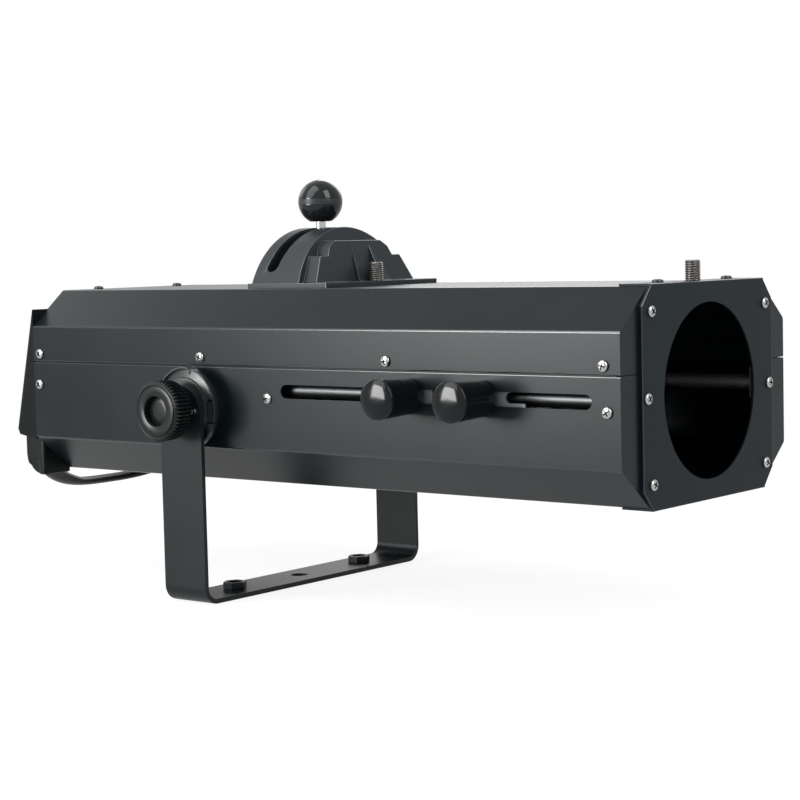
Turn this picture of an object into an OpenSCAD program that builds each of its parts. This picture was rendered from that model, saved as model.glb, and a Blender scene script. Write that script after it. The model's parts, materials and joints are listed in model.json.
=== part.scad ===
// Followspot: an octagonal sheet-metal body on a tilting yoke, with zoom and focus
// knobs in a side slot, an iris lever under a slotted dome and a leaning rear panel.
// X runs forward along the beam, Z is up, and the origin is the stand bolt's hole in the yoke.

/* [Body] */
// Length of the sheet-metal body
body_l = 612; // [596:1:640]
// Width of the body across its flat sides
body_w = 239; // [236:1:250]
// Height of the body
body_h = 160; // [157:1:168]
// Height of the flat side strips
side_h = 98; // [94:1:102]
// Width of the flat top and bottom
top_w = 164; // [160:1:172]
// Thickness of the sheet metal
sheet = 1.5; // [1.2:0.1:1.8]
// Height of the seam between the covers above the optical axis
seam_z = 18; // [16:0.5:20]
// Height of the lap behind the seam
lap_h = 13; // [11:0.5:14]

/* [Slot] */
// Distance from the rear edge to the start of the long slot
slot_x = 293; // [290:1:298]
// Length of the long slot
slot_l = 295; // [285:1:296]
// Height of the long slot
slot_h = 11; // [10.5:0.5:13]
// Height of the slot and of the guide rods above the optical axis
rail_z = -1; // [-2:0.5:1]

/* [Front] */
// Diameter of the front aperture
aperture_d = 132; // [124:1:134]
// Width of the front plate
front_w = 190; // [186:1:194]
// Depth of the front plate's rim
front_rim = 3; // [2.5:0.5:5]
// Depth of the flanges that lap over the top and bottom
front_lap = 27; // [25:1:32]

/* [Yoke] */
// Distance from the body's rear edge to the tilt axis
pivot_x = 201; // [196:1:206]
// Depth of the tilt axis below the optical axis
pivot_drop = 16; // [14:0.5:18]
// Distance from the tilt axis down to the underside of the yoke
yoke_drop = 161; // [154:1:175]
// Gap between the body's side and the yoke's arm
yoke_gap = 17.5; // [16:0.5:22]
// Width of the flat bar
bar_w = 46; // [42:1:50]
// Thickness of the flat bar
bar_t = 4; // [3:0.5:5]
// Outer radius of the yoke's bends
bend_r = 14; // [8:1:16]
// Diameter of the stand bolt's hole
stand_hole_d = 15; // [13:0.5:16]
// Distance between the two weld nuts
nut_span = 164; // [150:1:180]
// Size across the flats of the weld nuts
nut_af = 18; // [17:0.5:19]
// Height of the weld nuts
nut_h = 6; // [5:0.5:10]
// Diameter of the weld nuts' bore
nut_bore = 12; // [10:0.5:12.5]

/* [Tilt lock] */
// Diameter of the pivot discs
disc_d = 68; // [60:1:70]
// Thickness of the pivot discs
disc_t = 6.5; // [5:0.5:7]
// Diameter of the tilt studs
stud_d = 10; // [8:0.5:10]
// Diameter of the tilt knobs
tilt_knob_d = 50; // [46:1:56]
// Height of a tilt knob's fluted body
tilt_knob_h = 19; // [16:1:22]
// Number of flutes on a tilt knob
tilt_flutes = 46; // [36:1:50]

/* [Slide knobs] */
// Position of the zoom knob from the rear edge
zoom_x = 424.5; // [422:0.5:426]
// Position of the focus knob from the rear edge
focus_x = 492; // [491:0.5:494]
// Diameter of the slide knobs at their outer end
slide_knob_d = 31; // [28:1:33]
// Diameter of the slide knobs at the body
slide_knob_root_d = 27; // [24:1:28]
// Length of the slide knobs
slide_knob_l = 42; // [32:1:44]
// Diameter of the guide rods
rod_d = 12; // [11:0.5:12]

/* [Iris] */
// Position of the iris lever from the rear edge
iris_x = 237; // [235:1:238]
// Diameter of the iris lever's ball
ball_d = 38; // [32:1:40]
// Height of the ball's centre above the optical axis
ball_z = 151.5; // [150:0.5:160]
// Diameter of the iris lever
lever_d = 8.5; // [7:0.5:9]
// Swing of the iris lever to each side
lever_swing = 32; // [26:1:33]
// Fully open diameter of the iris
iris_open_d = 62; // [56:1:64]

/* [Dome] */
// Length of the dome's base along the beam
dome_l = 86; // [84:1:90]
// Width of the dome's base across the beam
dome_w = 147; // [146:1:152]
// Thickness of the dome's base
dome_base_t = 4; // [3:0.5:5]
// Height of the dome's crown above the body
dome_h = 49.7; // [48:0.1:51]
// Thickness of the dome's shell
dome_wall = 3; // [2.5:0.5:3.5]
// Width of the lever's slot in the dome
dome_slot_w = 12; // [11:0.5:13]
// Diameter of the accessory studs
accessory_d = 12; // [10:0.5:12]
// Height of the accessory studs above what they stand on
accessory_h = 15.5; // [12:0.5:18]

/* [Lenses] */
// Diameter of the zoom lens
zoom_lens_d = 104; // [96:1:110]
// Diameter of the focus lens
focus_lens_d = 124; // [116:1:126]

/* [Rear panel] */
// Height of the rear panel's top above the optical axis
panel_top = 64; // [62:1:66]
// Depth of the rear panel's bottom below the optical axis
panel_bottom = 51; // [50:1:52]
// How far the rear panel's foot stands behind the body
panel_depth = 24.6; // [23.5:0.5:26]
// Diameter of the air inlet's slotted field
grille_d = 78; // [70:1:80]
// Width of each air slot
grille_slot = 4; // [3:0.5:5]

/* [Handle] */
// Width of the rear handle over its feet
handle_w = 224; // [216:1:228]
// How far the grip hangs below the optical axis
handle_drop = 101; // [98:1:106]
// How far the grip bows out behind the feet
handle_bow = 31; // [26:1:34]

/* [Hidden] */
$fn = 64;

// Small distances shared by all pieces
run_gap = 0.3;
fit_gap = 0.05;
hole_gap = 0.1;
eps = 0.01;

// Colours as the photograph shows them
black_paint = "#2e3235";
black_plastic = "#26282a";
gloss_black = "#141516";
nickel = "#c9ccd0";
steel = "#8d9196";
aluminium = "#b4b7ba";
glass_tint = "#9fb4c4";

half_w = body_w / 2;
half_h = body_h / 2;
inner_y = half_w - sheet;
floor_z = -half_h + sheet;
inner_top = half_h - sheet;

// Screws
screw_r = 2;
head_r = 4.3;
head_h = 2.6;
rear_inset = 9;
front_inset = 14;
upper_row_z = seam_z + 7;
upper_row_x = [for (i = [0:3]) rear_inset + i * (body_l - rear_inset - front_inset) / 3];
slot_screw_x = slot_x - 14;
lower_row = [[7.5, -2], [slot_screw_x, -7], [body_l - 11, -8]];
top_screw_y = 50;
rear_top_x = 12;
front_top_x = body_l - 11;

// Front plate
front_x = body_l + front_rim;
front_hole_r = aperture_d / 2 + 4;
front_corner_y = top_w / 2;
front_side_z = 66;
front_mid_y = front_w / 2 - 6;
front_corner_hole = [front_corner_y + 1, front_side_z - 4];

// Yoke and tilt lock, measured out from the middle plane
arm_in = half_w + yoke_gap;
arm_out = arm_in + bar_t;
yoke_w = 2 * arm_out;
pivot_z = -pivot_drop;
bar_z = pivot_z - yoke_drop;
arm_top = 19;
disc_in = arm_in - disc_t;
ring_out = disc_in - run_gap;
ring_t = 1.5;
boss_out = ring_out - ring_t;
boss_d = 44;
knob_in = arm_out + run_gap;
knob_neck = 9;
knob_neck_r = 12.5;
knob_face_r = 12;
knob_out = knob_in + knob_neck + tilt_knob_h;
disc_screw_x = 16.5;
disc_screw_r = 1.5;

// Guide rods and lens carriages
rod_r = rod_d / 2;
rod_y = inner_y - 14;
bush_r = rod_r + 4;
bush_half = 18;
arm_half_h = 14;
shoe_h = 18;
shoe_t = 2;
shoe_out = inner_y - run_gap;
zoom_shoe = [-20, 20];
focus_shoe = [-20, 37];
bracket_l = 16;
bracket_front_x = body_l - sheet - bracket_l;
bracket_rear_x = slot_screw_x + 3 - bracket_l;
stem_r = 4;
knob_gap = 1.2;
lens_back = 2;
lens_edge = 8;
zoom_lens_t = 20;
focus_lens_t = 22;

// Dome
dome_x = iris_x - 19;
dome_top = half_h + dome_h;
dome_seat = half_h + dome_base_t;
dome_foot = dome_w / 2 - 3;
dome_rise = dome_top - dome_seat;
dome_r = (dome_foot * dome_foot + dome_rise * dome_rise) / (2 * dome_rise);
dome_c = dome_top - dome_r;
band_x = dome_x + 2;
band_l = 47;
front_body_x = band_x + band_l;
band_foot_x = front_body_x + 5;
band_crown_x = band_foot_x - 9;
nose_x = front_body_x + 20;
nose_top_x = front_body_x + 10;
nose_z = half_h + 38;
shoulder_z = half_h + 25.5;
stud_x = dome_x + dome_l - 7.2;
stud_root_r = accessory_d / 2 - 0.5;

// Iris
ball_r = ball_d / 2;
ball_flat = ball_z - ball_r + 2.2;
ring_r = 52.7;
collar_r = ring_r + run_gap;
collar_t = 3;
lever_in = 12;
lever_root_r = 2;
lever_foot = collar_r + collar_t + run_gap;
iris_ring_t = 4.8;
iris_back = iris_x - iris_ring_t / 2;
leaf_t = 0.4;
leaf_pitch = 0.7;
leaf_count = 6;
leaf_pivot_r = 49.5;
leaf_in = iris_open_d / 2 + 1;
leaf_out = 46;
leaf_span = 140;
leaf_rest = lever_swing / 2;
leaf_stud_r = 1.2;
leaf_x = iris_x + iris_ring_t / 2 + 0.5;
iris_plate_x = leaf_x + leaf_count * leaf_pitch;
iris_plate_t = 3;
plate_half = 62;
plate_top = 58;
plate_foot = 14;

// Light engine
led_x = 150;
wheel_x = iris_x - 23;
wheel_t = 1.5;
wheel_y = 46;
wheel_r = 66;
filter_r = 17;
filter_count = 6;
tube_r = 27;
tube_end = wheel_x - 9;
motor_size = 35;
motor_l = 26;
motor_face = wheel_x - 6;
shaft_r = 2.5;
fan_x = 36;
fan_size = 92;
fan_t = 25;
fan_hub_r = 18;
fan_r = 43;
fan_blades = 7;
sink_x = fan_x + fan_t + 1;
sink_half = 45;
sink_base = 8;
fin_pitch = 8;
tray_x = 22;
tray_end = iris_plate_x + iris_plate_t + 6;
tray_top = floor_z + sheet;
tray_half = top_w / 2 - 2;
supply_size = [150, 40, 94];
supply_x = motor_face - motor_l - 4 - supply_size[0];
supply_y = inner_y - supply_size[1] - 10;
supply_half = supply_size[2] / 2;

// Rear panel, a plane that leans back at its foot
panel_foot_z = 7.5 - panel_bottom;
panel_rise = panel_top - panel_foot_z;
panel_lean = atan2(panel_depth, panel_rise);
panel_l = panel_rise / cos(panel_lean);
panel_t = sheet;
panel_lip = 14;
grille_v = panel_l / 2 - 2;
control_y = -73;
display_w = 40;
display_h = 20;
display_v = panel_l - 28;
button_r = 4;
button_pitch = 10.5;
button_v = panel_l - 54;
button_travel = 1.2;
dimmer_v = panel_l - 85;
dimmer_r = 10;
dimmer_shaft_r = 3;
board_x = 12;
board_t = 1.6;
socket_y = 68;
rocker_w = 13;
rocker_h = 19;
rocker_v = panel_l - 57;
rocker_in = rocker_w / 2 - 1;
rocker_r = rocker_h / 2 - 1 - run_gap;
rocker_pin = 2;
rocker_tip = 10;
inlet_w = 28;
inlet_h = 20;
inlet_l = 18;
inlet_v = panel_l - 86;
dmx_r = 11.5;
dmx_v = panel_l - 29;
dmx_y = [54, 82];

// Rear handle
foot_l = 31;
foot_out = handle_w / 2;
foot_y = foot_out - 12;
foot_x = panel_depth - 1;
foot_bottom = -84;
foot_round = 18;
round_z = foot_bottom + foot_round;
foot_span = [-foot_out, foot_l - foot_out];
grip_end = foot_out - 8;
grip_half_x = 8;
grip_half_z = 4;
grip_flare = 6;
grip_rings = 24;
grip_sides = 16;

function button_y(i) = control_y + (i - 1.5) * button_pitch;

// Octagonal section of the body, moved in by t on every face
function octagon(t) =
    let (dy = half_w - top_w / 2)
    let (dz = half_h - side_h / 2)
    let (n = sqrt(dy * dy + dz * dz))
    let (z = side_h / 2 - t * (1 - dz / n) / (dy / n))
    let (y = top_w / 2 - t * (1 - dy / n) / (dz / n))
    [[half_w - t, z], [y, half_h - t], [-y, half_h - t], [t - half_w, z],
        [t - half_w, -z], [-y, t - half_h], [y, t - half_h], [half_w - t, -z]];

// Draws a flat shape of (Y, Z) points from x0 for a length l
module along_x(x0, l)
    translate([x0, 0, 0]) rotate([90, 0, 90]) linear_extrude(l) children();

// Draws a flat shape of (X, Z) points from y0 for a width w
module along_y(y0, w)
    translate([0, y0 + w, 0]) rotate([90, 0, 0]) linear_extrude(w) children();

module cyl_x(x0, l, r, y = 0, z = 0, fn = 64)
    translate([x0, y, z]) rotate([0, 90, 0]) cylinder(h = l, r = r, $fn = fn);

module cyl_y(y0, l, r, x = 0, z = 0, fn = 64)
    translate([x, y0 + l, z]) rotate([90, 0, 0]) cylinder(h = l, r = r, $fn = fn);

module block(x, y, z)
    translate([x[0], y[0], z[0]]) cube([x[1] - x[0], y[1] - y[0], z[1] - z[0]]);

// Block from x[0] to x[1] that is w wide and h high about the X axis
module plate(x, w, h)
    block(x, [-w / 2, w / 2], [-h / 2, h / 2]);

// Repeats its children on the right and, mirrored, on the left
module both_sides() {
    children();
    mirror([0, 1, 0]) children();
}

// Moves what is drawn about the body's rear edge to the stand bolt's hole
module in_place()
    translate([-pivot_x, 0, -bar_z]) children();

// Places what is drawn about a point of the rear panel, with -X pointing out of it
module on_panel(y, v)
    translate([v * sin(panel_lean) - panel_depth, y, panel_foot_z + v * cos(panel_lean)])
        rotate([0, panel_lean, 0]) children();

// Pan-head screw along +Z with its head's seat at z = 0 and a cross recess
module pan_screw(l) {
    difference() {
        union() {
            cylinder(h = head_h * 0.6, r = head_r, $fn = 32);
            translate([0, 0, head_h * 0.6])
                cylinder(h = head_h * 0.4, r1 = head_r, r2 = head_r * 0.62, $fn = 32);
        }
        for (a = [0, 90])
            rotate([0, 0, a]) translate([-head_r * 0.55, -0.5, head_h - 1.4]) cube([head_r * 1.1, 1, 2]);
    }
    translate([0, 0, -l]) cylinder(h = l, r = screw_r, $fn = 32);
}

// Places children on the right side's face, with +Z pointing out
module on_side(x, z)
    translate([x, -half_w, z]) rotate([90, 0, 0]) children();

// Clearance holes for the side screws, through both sides
module side_holes() {
    for (x = upper_row_x)
        cyl_y(-half_w - 1, body_w + 2, screw_r + hole_gap, x, upper_row_z, 32);
    for (p = lower_row)
        cyl_y(-half_w - 1, body_w + 2, screw_r + hole_gap, p[0], p[1], 32);
}

// Holes for the top screws and the two accessory studs
module top_holes() {
    for (x = [rear_top_x, front_top_x], y = [-top_screw_y, top_screw_y])
        translate([x, y, half_h - 20]) cylinder(h = 30, r = screw_r + hole_gap, $fn = 32);
    for (x = [stud_x, front_top_x])
        translate([x, 0, half_h - 20]) cylinder(h = 40, r = stud_root_r + fit_gap);
}

// Places children at the front plate's six screws, on the plane X = 0
module front_screw_places()
    for (s = [-1, 1]) {
        translate([0, s * front_mid_y, 0]) children();
        for (t = [-1, 1])
            translate([0, s * front_corner_hole[0], t * front_corner_hole[1]]) children();
    }

// Flat end of the two covers with the round opening of the body's front
module front_return()
    difference() {
        along_x(body_l - sheet, sheet) polygon(octagon(0));
        cyl_x(body_l - sheet - 1, sheet + 2, front_hole_r);
        front_screw_places() cyl_x(body_l - 5, 10, screw_r + hole_gap, 0, 0, 32);
    }

// Tube of sheet metal with the body's section
module body_tube()
    difference() {
        along_x(0, body_l) polygon(octagon(0));
        along_x(-1, body_l + 2) polygon(octagon(sheet));
    }

module top_cover() color(black_paint)
    in_place() difference() {
        union() {
            body_tube();
            front_return();
        }
        block([-2, body_l + 2], [-half_w - 1, half_w + 1], [-half_h - 1, seam_z + run_gap]);
        side_holes();
        top_holes();
        block([iris_x - lever_d, iris_x + lever_d], [-58, 58], [half_h - 5, half_h + 5]);
    }

module bottom_cover() color(black_paint)
    in_place() difference() {
        union() {
            difference() {
                union() {
                    body_tube();
                    front_return();
                }
                block([-2, body_l + 2], [-half_w - 1, half_w + 1], [seam_z - run_gap, half_h + 1]);
            }
            both_sides() {
                block([1, body_l - 5], [-inner_y - eps, sheet - inner_y], [seam_z - 6, seam_z - run_gap]);
                block([1, body_l - 5], [fit_gap - inner_y, sheet - inner_y], [seam_z - 6, seam_z + lap_h]);
            }
        }
        side_holes();
        cyl_y(-half_w - 1, body_w + 2, stud_d / 2 + hole_gap, pivot_x, pivot_z);
        slot_cut([slot_x, slot_x + slot_l], slot_h, rail_z, -half_w - 1, sheet + 2);
        for (i = [0:8], s = [-1, 1])
            block([50 + i * 16, 56 + i * 16], [s * 44 - 26, s * 44 + 26], [-half_h - 1, floor_z + 1]);
        for (y = [-top_screw_y, top_screw_y])
            translate([front_top_x, y, -half_h - 5]) cylinder(h = 20, r = screw_r + hole_gap, $fn = 32);
    }

// Slot with round ends, cut along Y
module slot_cut(x, h, z, y0, w) {
    block([x[0] + h / 2, x[1] - h / 2], [y0, y0 + w], [z - h / 2, z + h / 2]);
    for (cx = [x[0] + h / 2, x[1] - h / 2])
        cyl_y(y0, w, h / 2, cx, z);
}

// Outline of the front plate, moved in by t
function front_outline(t) =
    let (a = front_w / 2 - t)
    let (b = front_corner_y)
    let (z = front_side_z)
    let (h = half_h - t)
    [[a, z], [b, h], [-b, h], [-a, z], [-a, -z], [-b, -h], [b, -h], [a, -z]];

module front_plate() color(black_paint)
    in_place() difference() {
        union() {
            along_x(front_x - sheet, sheet) polygon(front_outline(0));
            difference() {
                along_x(body_l, front_rim) polygon(front_outline(0));
                along_x(body_l - 1, front_rim + 2) polygon(front_outline(sheet));
            }
            for (s = [-1, 1])
                block([front_x - front_lap, front_x], [-front_corner_y, front_corner_y],
                    s > 0 ? [half_h, half_h + sheet] : [-half_h - sheet, -half_h]);
        }
        cyl_x(body_l - 1, front_rim + 2, aperture_d / 2);
        front_screw_places() cyl_x(body_l - 5, 20, screw_r + hole_gap, 0, 0, 32);
        top_holes();
        for (y = [-top_screw_y, top_screw_y])
            translate([front_top_x, y, -half_h - 5]) cylinder(h = 20, r = screw_r + hole_gap, $fn = 32);
    }

// Wedge between the body's rear edge and the leaning panel, moved in by t
module wedge(t, w)
    along_y(-w / 2, w) polygon([[0, panel_top - t], [-panel_depth, panel_foot_z],
        [3 - panel_depth, 3.5 - panel_bottom + t], [0, t - panel_bottom]]);

// Half-space in front of a plane that lies t inside the rear panel's face
module behind_panel(t)
    on_panel(0, 0) block([t - 60, t], [-half_w - 1, half_w + 1], [-30, panel_l + 30]);

// Flanged plate inside the covers, welded to the wedge that carries the rear panel
module rear_frame() color(black_paint)
    in_place() difference() {
        union() {
            difference() {
                intersection() {
                    along_x(0, 18) polygon(octagon(sheet));
                    block([0, 18], [sheet - inner_y, inner_y - sheet], [-half_h, half_h]);
                }
                along_x(sheet, 18) polygon(octagon(3 * sheet));
            }
            difference() {
                wedge(0, body_w);
                behind_panel(panel_t);
                difference() {
                    translate([eps, 0, 0]) wedge(sheet, body_w - 2 * sheet);
                    behind_panel(2 * panel_t);
                }
            }
        }
        block([-1, sheet + 1], [-96, 96], [-38, 50]);
        on_panel(0, 0)
            block([-1, 8], [panel_lip - half_w, half_w - panel_lip], [panel_lip, panel_l - panel_lip]);
        side_holes();
        top_holes();
        panel_screw_places() cyl_x(-5, 12, screw_r + hole_gap, 0, 0, 32);
        handle_screw_places() translate([0, 0, -60]) cylinder(h = 30, r = screw_r + hole_gap, $fn = 32);
    }

// Places children at the rear panel's screws, with -X pointing out
module panel_screw_places()
    for (y = [-half_w + 7, 0, half_w - 7], v = [7, panel_l - 14])
        if (y != 0 || v > 20)
            on_panel(y, v) children();

// Places children at the handle's screws
module handle_screw_places()
    for (y = [-foot_y, foot_y])
        translate([-panel_depth / 2, y, 0]) children();

// Flat leaning plate with the grille, the controls and the sockets
module rear_panel() color(black_paint)
    in_place() difference() {
        on_panel(0, 0) block([0, panel_t], [-half_w, half_w], [0, panel_l]);
        block([0, 5], [-half_w - 1, half_w + 1], [0, panel_top + 1]);
        for (i = [-4:4])
            on_panel(i * 2 * grille_slot, grille_v)
                let (half = sqrt(pow(grille_d / 2, 2) - pow(i * 2 * grille_slot, 2)))
                    block([-5, 10], [-grille_slot / 2, grille_slot / 2], [-half, half]);
        on_panel(control_y, display_v) plate([-5, 10], display_w, display_h);
        for (i = [0:3])
            on_panel(button_y(i), button_v) cyl_x(-5, 15, button_r + run_gap);
        on_panel(control_y, dimmer_v) cyl_x(-5, 15, dimmer_shaft_r + run_gap);
        on_panel(socket_y, rocker_v) plate([-5, 10], rocker_w, rocker_h);
        on_panel(socket_y, inlet_v) plate([-5, 10], inlet_w, inlet_h);
        for (y = dmx_y)
            on_panel(y, dmx_v) cyl_x(-5, 15, dmx_r);
        panel_screw_places() cyl_x(-5, 12, screw_r + hole_gap, 0, 0, 32);
    }

// Folded tray that carries the light engine on the floor of the body
module chassis_tray() color(steel)
    in_place() {
        difference() {
            union() {
                block([tray_x, tray_end], [-tray_half, tray_half], [floor_z, tray_top]);
                for (x = [sink_x + 8, led_x - 20])
                    block([x, x + sheet], [-sink_half, sink_half], [tray_top - eps, -sink_half]);
                block([fan_x + 4, fan_x + 4 + sheet], [-fan_size / 2, fan_size / 2],
                    [tray_top - eps, -fan_size / 2]);
                for (x = [supply_x + 12, supply_x + supply_size[0] - 14])
                    block([x, x + sheet], [supply_y, tray_half], [tray_top - eps, -supply_half]);
                block([motor_face, motor_face + sheet],
                    [wheel_y - motor_size / 2, wheel_y + motor_size / 2], [tray_top - eps, motor_size / 2]);
            }
            cyl_x(motor_face - 1, 4, 11, wheel_y, 0);
        }
    }

// Blocks that hold the ends of the two guide rods
module rod_brackets() color(aluminium)
    in_place() difference() {
        both_sides()
            for (x = [bracket_rear_x, bracket_front_x])
                block([x, x + bracket_l], [-inner_y, -rod_y + rod_r + 2], [rail_z - 12, rail_z + 12]);
        for (y = [-rod_y, rod_y])
            cyl_x(bracket_rear_x + 4, bracket_front_x - bracket_rear_x + bracket_l - 8, rod_r, y, rail_z);
        side_holes();
    }

module guide_rods() color(steel)
    in_place()
        for (y = [-rod_y, rod_y])
            cyl_x(bracket_rear_x + 4, bracket_front_x - bracket_rear_x + bracket_l - 8, rod_r, y, rail_z);

// Section of the dome's slotted band, moved in by t, above the top of the body
module dome_arch(t)
    intersection() {
        translate([0, dome_c]) circle(r = dome_r - t, $fn = 128);
        translate([-dome_w, half_h]) square([2 * dome_w, dome_h + 1]);
    }

// Leaning front of the slotted band, as a cut
module band_front()
    along_y(-dome_w, 2 * dome_w)
        polygon([[band_foot_x, dome_seat], [band_crown_x, dome_top + 1],
            [band_foot_x + 1, dome_top + 1], [band_foot_x + 1, dome_seat]]);

// Tapering web on the dome's nose at y, with its foot's half width and how far the foot reaches
module dome_web(y, w, reach) {
    top = nose_z - 2;
    foot = dome_seat - 1;
    polyhedron([for (p = [[nose_top_x - 2, 0.8, top], [nose_top_x, 0.8, top],
            [nose_x + reach, w, foot], [nose_x - 10, w, foot]], s = [-1, 1]) [p[0], y + s * p[1], p[2]]],
        [[0, 2, 4, 6], [7, 5, 3, 1], [0, 1, 3, 2], [2, 3, 5, 4], [4, 5, 7, 6], [6, 7, 1, 0]]);
}

// Section of the dome's front body, moved in by t
module dome_nose(t)
    polygon([[-dome_foot + 4 + t, half_h], [-52 + t, shoulder_z - t], [-42 + t, shoulder_z - t],
        [-38 + t, nose_z - 5 - t], [-30 + t, nose_z - t], [30 - t, nose_z - t], [38 - t, nose_z - 5 - t],
        [42 - t, shoulder_z - t], [52 - t, shoulder_z - t], [dome_foot - 4 - t, half_h]]);

// Cuts away everything ahead of the dome's sloping front, moved in by t
module nose_slope(t)
    along_y(-dome_w, 2 * dome_w)
        polygon([[nose_x - t, half_h - 1], [nose_top_x - t, nose_z + 1], [nose_top_x - t, nose_z + 20],
            [nose_x + 30, nose_z + 20], [nose_x + 30, half_h - 1]]);

// Moulded cover of the iris lever, with a slotted band, a sloping nose and two webs
module dome_cover() color(black_plastic)
    in_place() difference() {
        union() {
            block([dome_x, dome_x + dome_l], [-dome_w / 2, dome_w / 2], [half_h, dome_seat]);
            difference() {
                along_x(band_x, band_foot_x - band_x) dome_arch(0);
                band_front();
            }
            difference() {
                along_x(band_crown_x - 1, 30) dome_nose(0);
                nose_slope(0);
            }
            dome_web(-9, 4, 3);
            dome_web(14, 6, 11);
        }
        along_x(band_x + dome_wall, band_crown_x - band_x - 2 * dome_wall)
            translate([0, -eps]) dome_arch(dome_wall);
        translate([0, 0, -eps]) difference() {
            along_x(band_crown_x, 30) dome_nose(dome_wall);
            nose_slope(dome_wall);
        }
        intersection() {
            block([iris_x - dome_slot_w / 2, iris_x + dome_slot_w / 2], [-dome_w, dome_w],
                [dome_seat + 1, dome_top + 5]);
            along_x(iris_x - 20, 40) fan_shape(lever_swing + 3, 2 * dome_top);
        }
        top_holes();
    }

// Threaded studs on the middle line, one through the dome's base and one through the front flange
module accessory_studs() color(nickel)
    in_place()
        for (p = [[stud_x, dome_seat], [front_top_x, half_h + sheet]]) {
            translate([p[0], 0, p[1]]) cylinder(h = accessory_h, r = accessory_d / 2);
            translate([p[0], 0, inner_top]) cylinder(h = p[1] - inner_top + eps, r = stud_root_r);
            translate([p[0], 0, inner_top - 4]) cylinder(h = 4 + eps, r = accessory_d * 0.75, $fn = 6);
        }

// Flat bar bent into a U, with round-ended arms
module yoke_strap() color(black_paint)
    in_place() translate([pivot_x, 0, 0]) difference() {
        union() {
            intersection() {
                along_x(-bar_w / 2, bar_w) difference() {
                    yoke_outline(0);
                    yoke_outline(bar_t);
                }
                union() {
                    block([-bar_w, bar_w], [-arm_out, arm_out], [bar_z, pivot_z + arm_top - bar_w / 2]);
                    cyl_y(-arm_out, yoke_w, bar_w / 2, 0, pivot_z + arm_top - bar_w / 2);
                }
            }
        }
        cyl_y(-arm_out - 1, yoke_w + 2, stud_d / 2 + hole_gap, 0, pivot_z);
        for (x = [-disc_screw_x, disc_screw_x])
            cyl_y(-arm_out - 1, yoke_w + 2, disc_screw_r + hole_gap, x, pivot_z - 2, 32);
        translate([0, 0, bar_z - 1]) cylinder(h = bar_t + 2, r = stand_hole_d / 2);
        for (y = [-nut_span / 2, nut_span / 2])
            translate([0, y, bar_z - 1]) cylinder(h = bar_t + 2, r = nut_bore / 2);
    }

// Outline of the yoke in (Y, Z), moved in by t
module yoke_outline(t) {
    translate([t - arm_out, bar_z + bend_r]) square([2 * (arm_out - t), yoke_drop + 60]);
    translate([bend_r - arm_out, bar_z + t]) square([2 * (arm_out - bend_r), bend_r + 1]);
    for (s = [-1, 1])
        translate([s * (arm_out - bend_r), bar_z + bend_r]) circle(r = bend_r - t);
}

// Hexagon nuts welded over the outer holes of the bar
module yoke_nuts() color(black_paint)
    in_place() translate([pivot_x, 0, bar_z + bar_t])
        for (y = [-nut_span / 2, nut_span / 2])
            translate([0, y, 0]) difference() {
                cylinder(h = nut_h, r = nut_af / sqrt(3), $fn = 6);
                translate([0, 0, -1]) cylinder(h = nut_h + 2, r = nut_bore / 2);
            }

// Nylon discs inside the yoke's arms, with a rim, a notch and two radial grooves
module pivot_discs() color(black_plastic)
    in_place() translate([pivot_x, 0, pivot_z]) both_sides() difference() {
        cyl_y(-arm_in, disc_t, disc_d / 2);
        difference() {
            cyl_y(-arm_in - 1, 2.2, disc_d / 2 - 2.5);
            cyl_y(-arm_in - 2, 4, bar_w / 2 + 2);
        }
        for (z = [7, -11])
            block([bar_w / 2 + 1, disc_d / 2 - 2.5], [-arm_in - 1, -arm_in + 2.5], [z - 1, z + 1]);
        block([-1, 1], [-arm_in - 1, -arm_in + 2.5], [disc_d / 2 - 7, disc_d / 2 - 2]);
        cyl_y(-arm_in - 1, disc_t + 2, stud_d / 2 + hole_gap);
        for (x = [-disc_screw_x, disc_screw_x])
            cyl_y(-arm_in - 1, disc_t - 1, disc_screw_r, x, -2, 32);
    }

// Small screws that hold the discs to the arms
module disc_screws() color(nickel)
    in_place() translate([pivot_x, 0, pivot_z - 2]) both_sides()
        for (x = [-disc_screw_x, disc_screw_x]) {
            difference() {
                cyl_y(-arm_out - 1.6, 1.6, 2.8, x, 0, 32);
                cyl_y(-arm_out - 2.6, 2, 1.4, x, 0, 6);
            }
            cyl_y(-arm_out, bar_t + disc_t - 2.2, disc_screw_r, x, 0, 32);
        }

// Turned bosses that carry the tilt studs and stand the yoke off the body
module pivot_bosses() color(aluminium)
    in_place() translate([pivot_x, 0, pivot_z]) both_sides() difference() {
        cyl_y(-boss_out, boss_out - half_w, boss_d / 2);
        cyl_y(-boss_out - 1, boss_out - half_w + 2, stud_d / 2);
    }

module friction_rings() color(gloss_black)
    in_place() translate([pivot_x, 0, pivot_z]) both_sides() difference() {
        cyl_y(-ring_out, ring_t, boss_d / 2 - 1);
        cyl_y(-ring_out - 1, ring_t + 2, stud_d / 2);
    }

// Studs of the tilt lock, with hexagon heads inside the lower cover
module tilt_studs() color(steel)
    in_place() translate([pivot_x, 0, pivot_z]) both_sides() {
        cyl_y(-knob_out + 6, knob_out - 6 - inner_y, stud_d / 2);
        cyl_y(-inner_y, 6, stud_d * 0.9, 0, 0, 6);
    }

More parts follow.
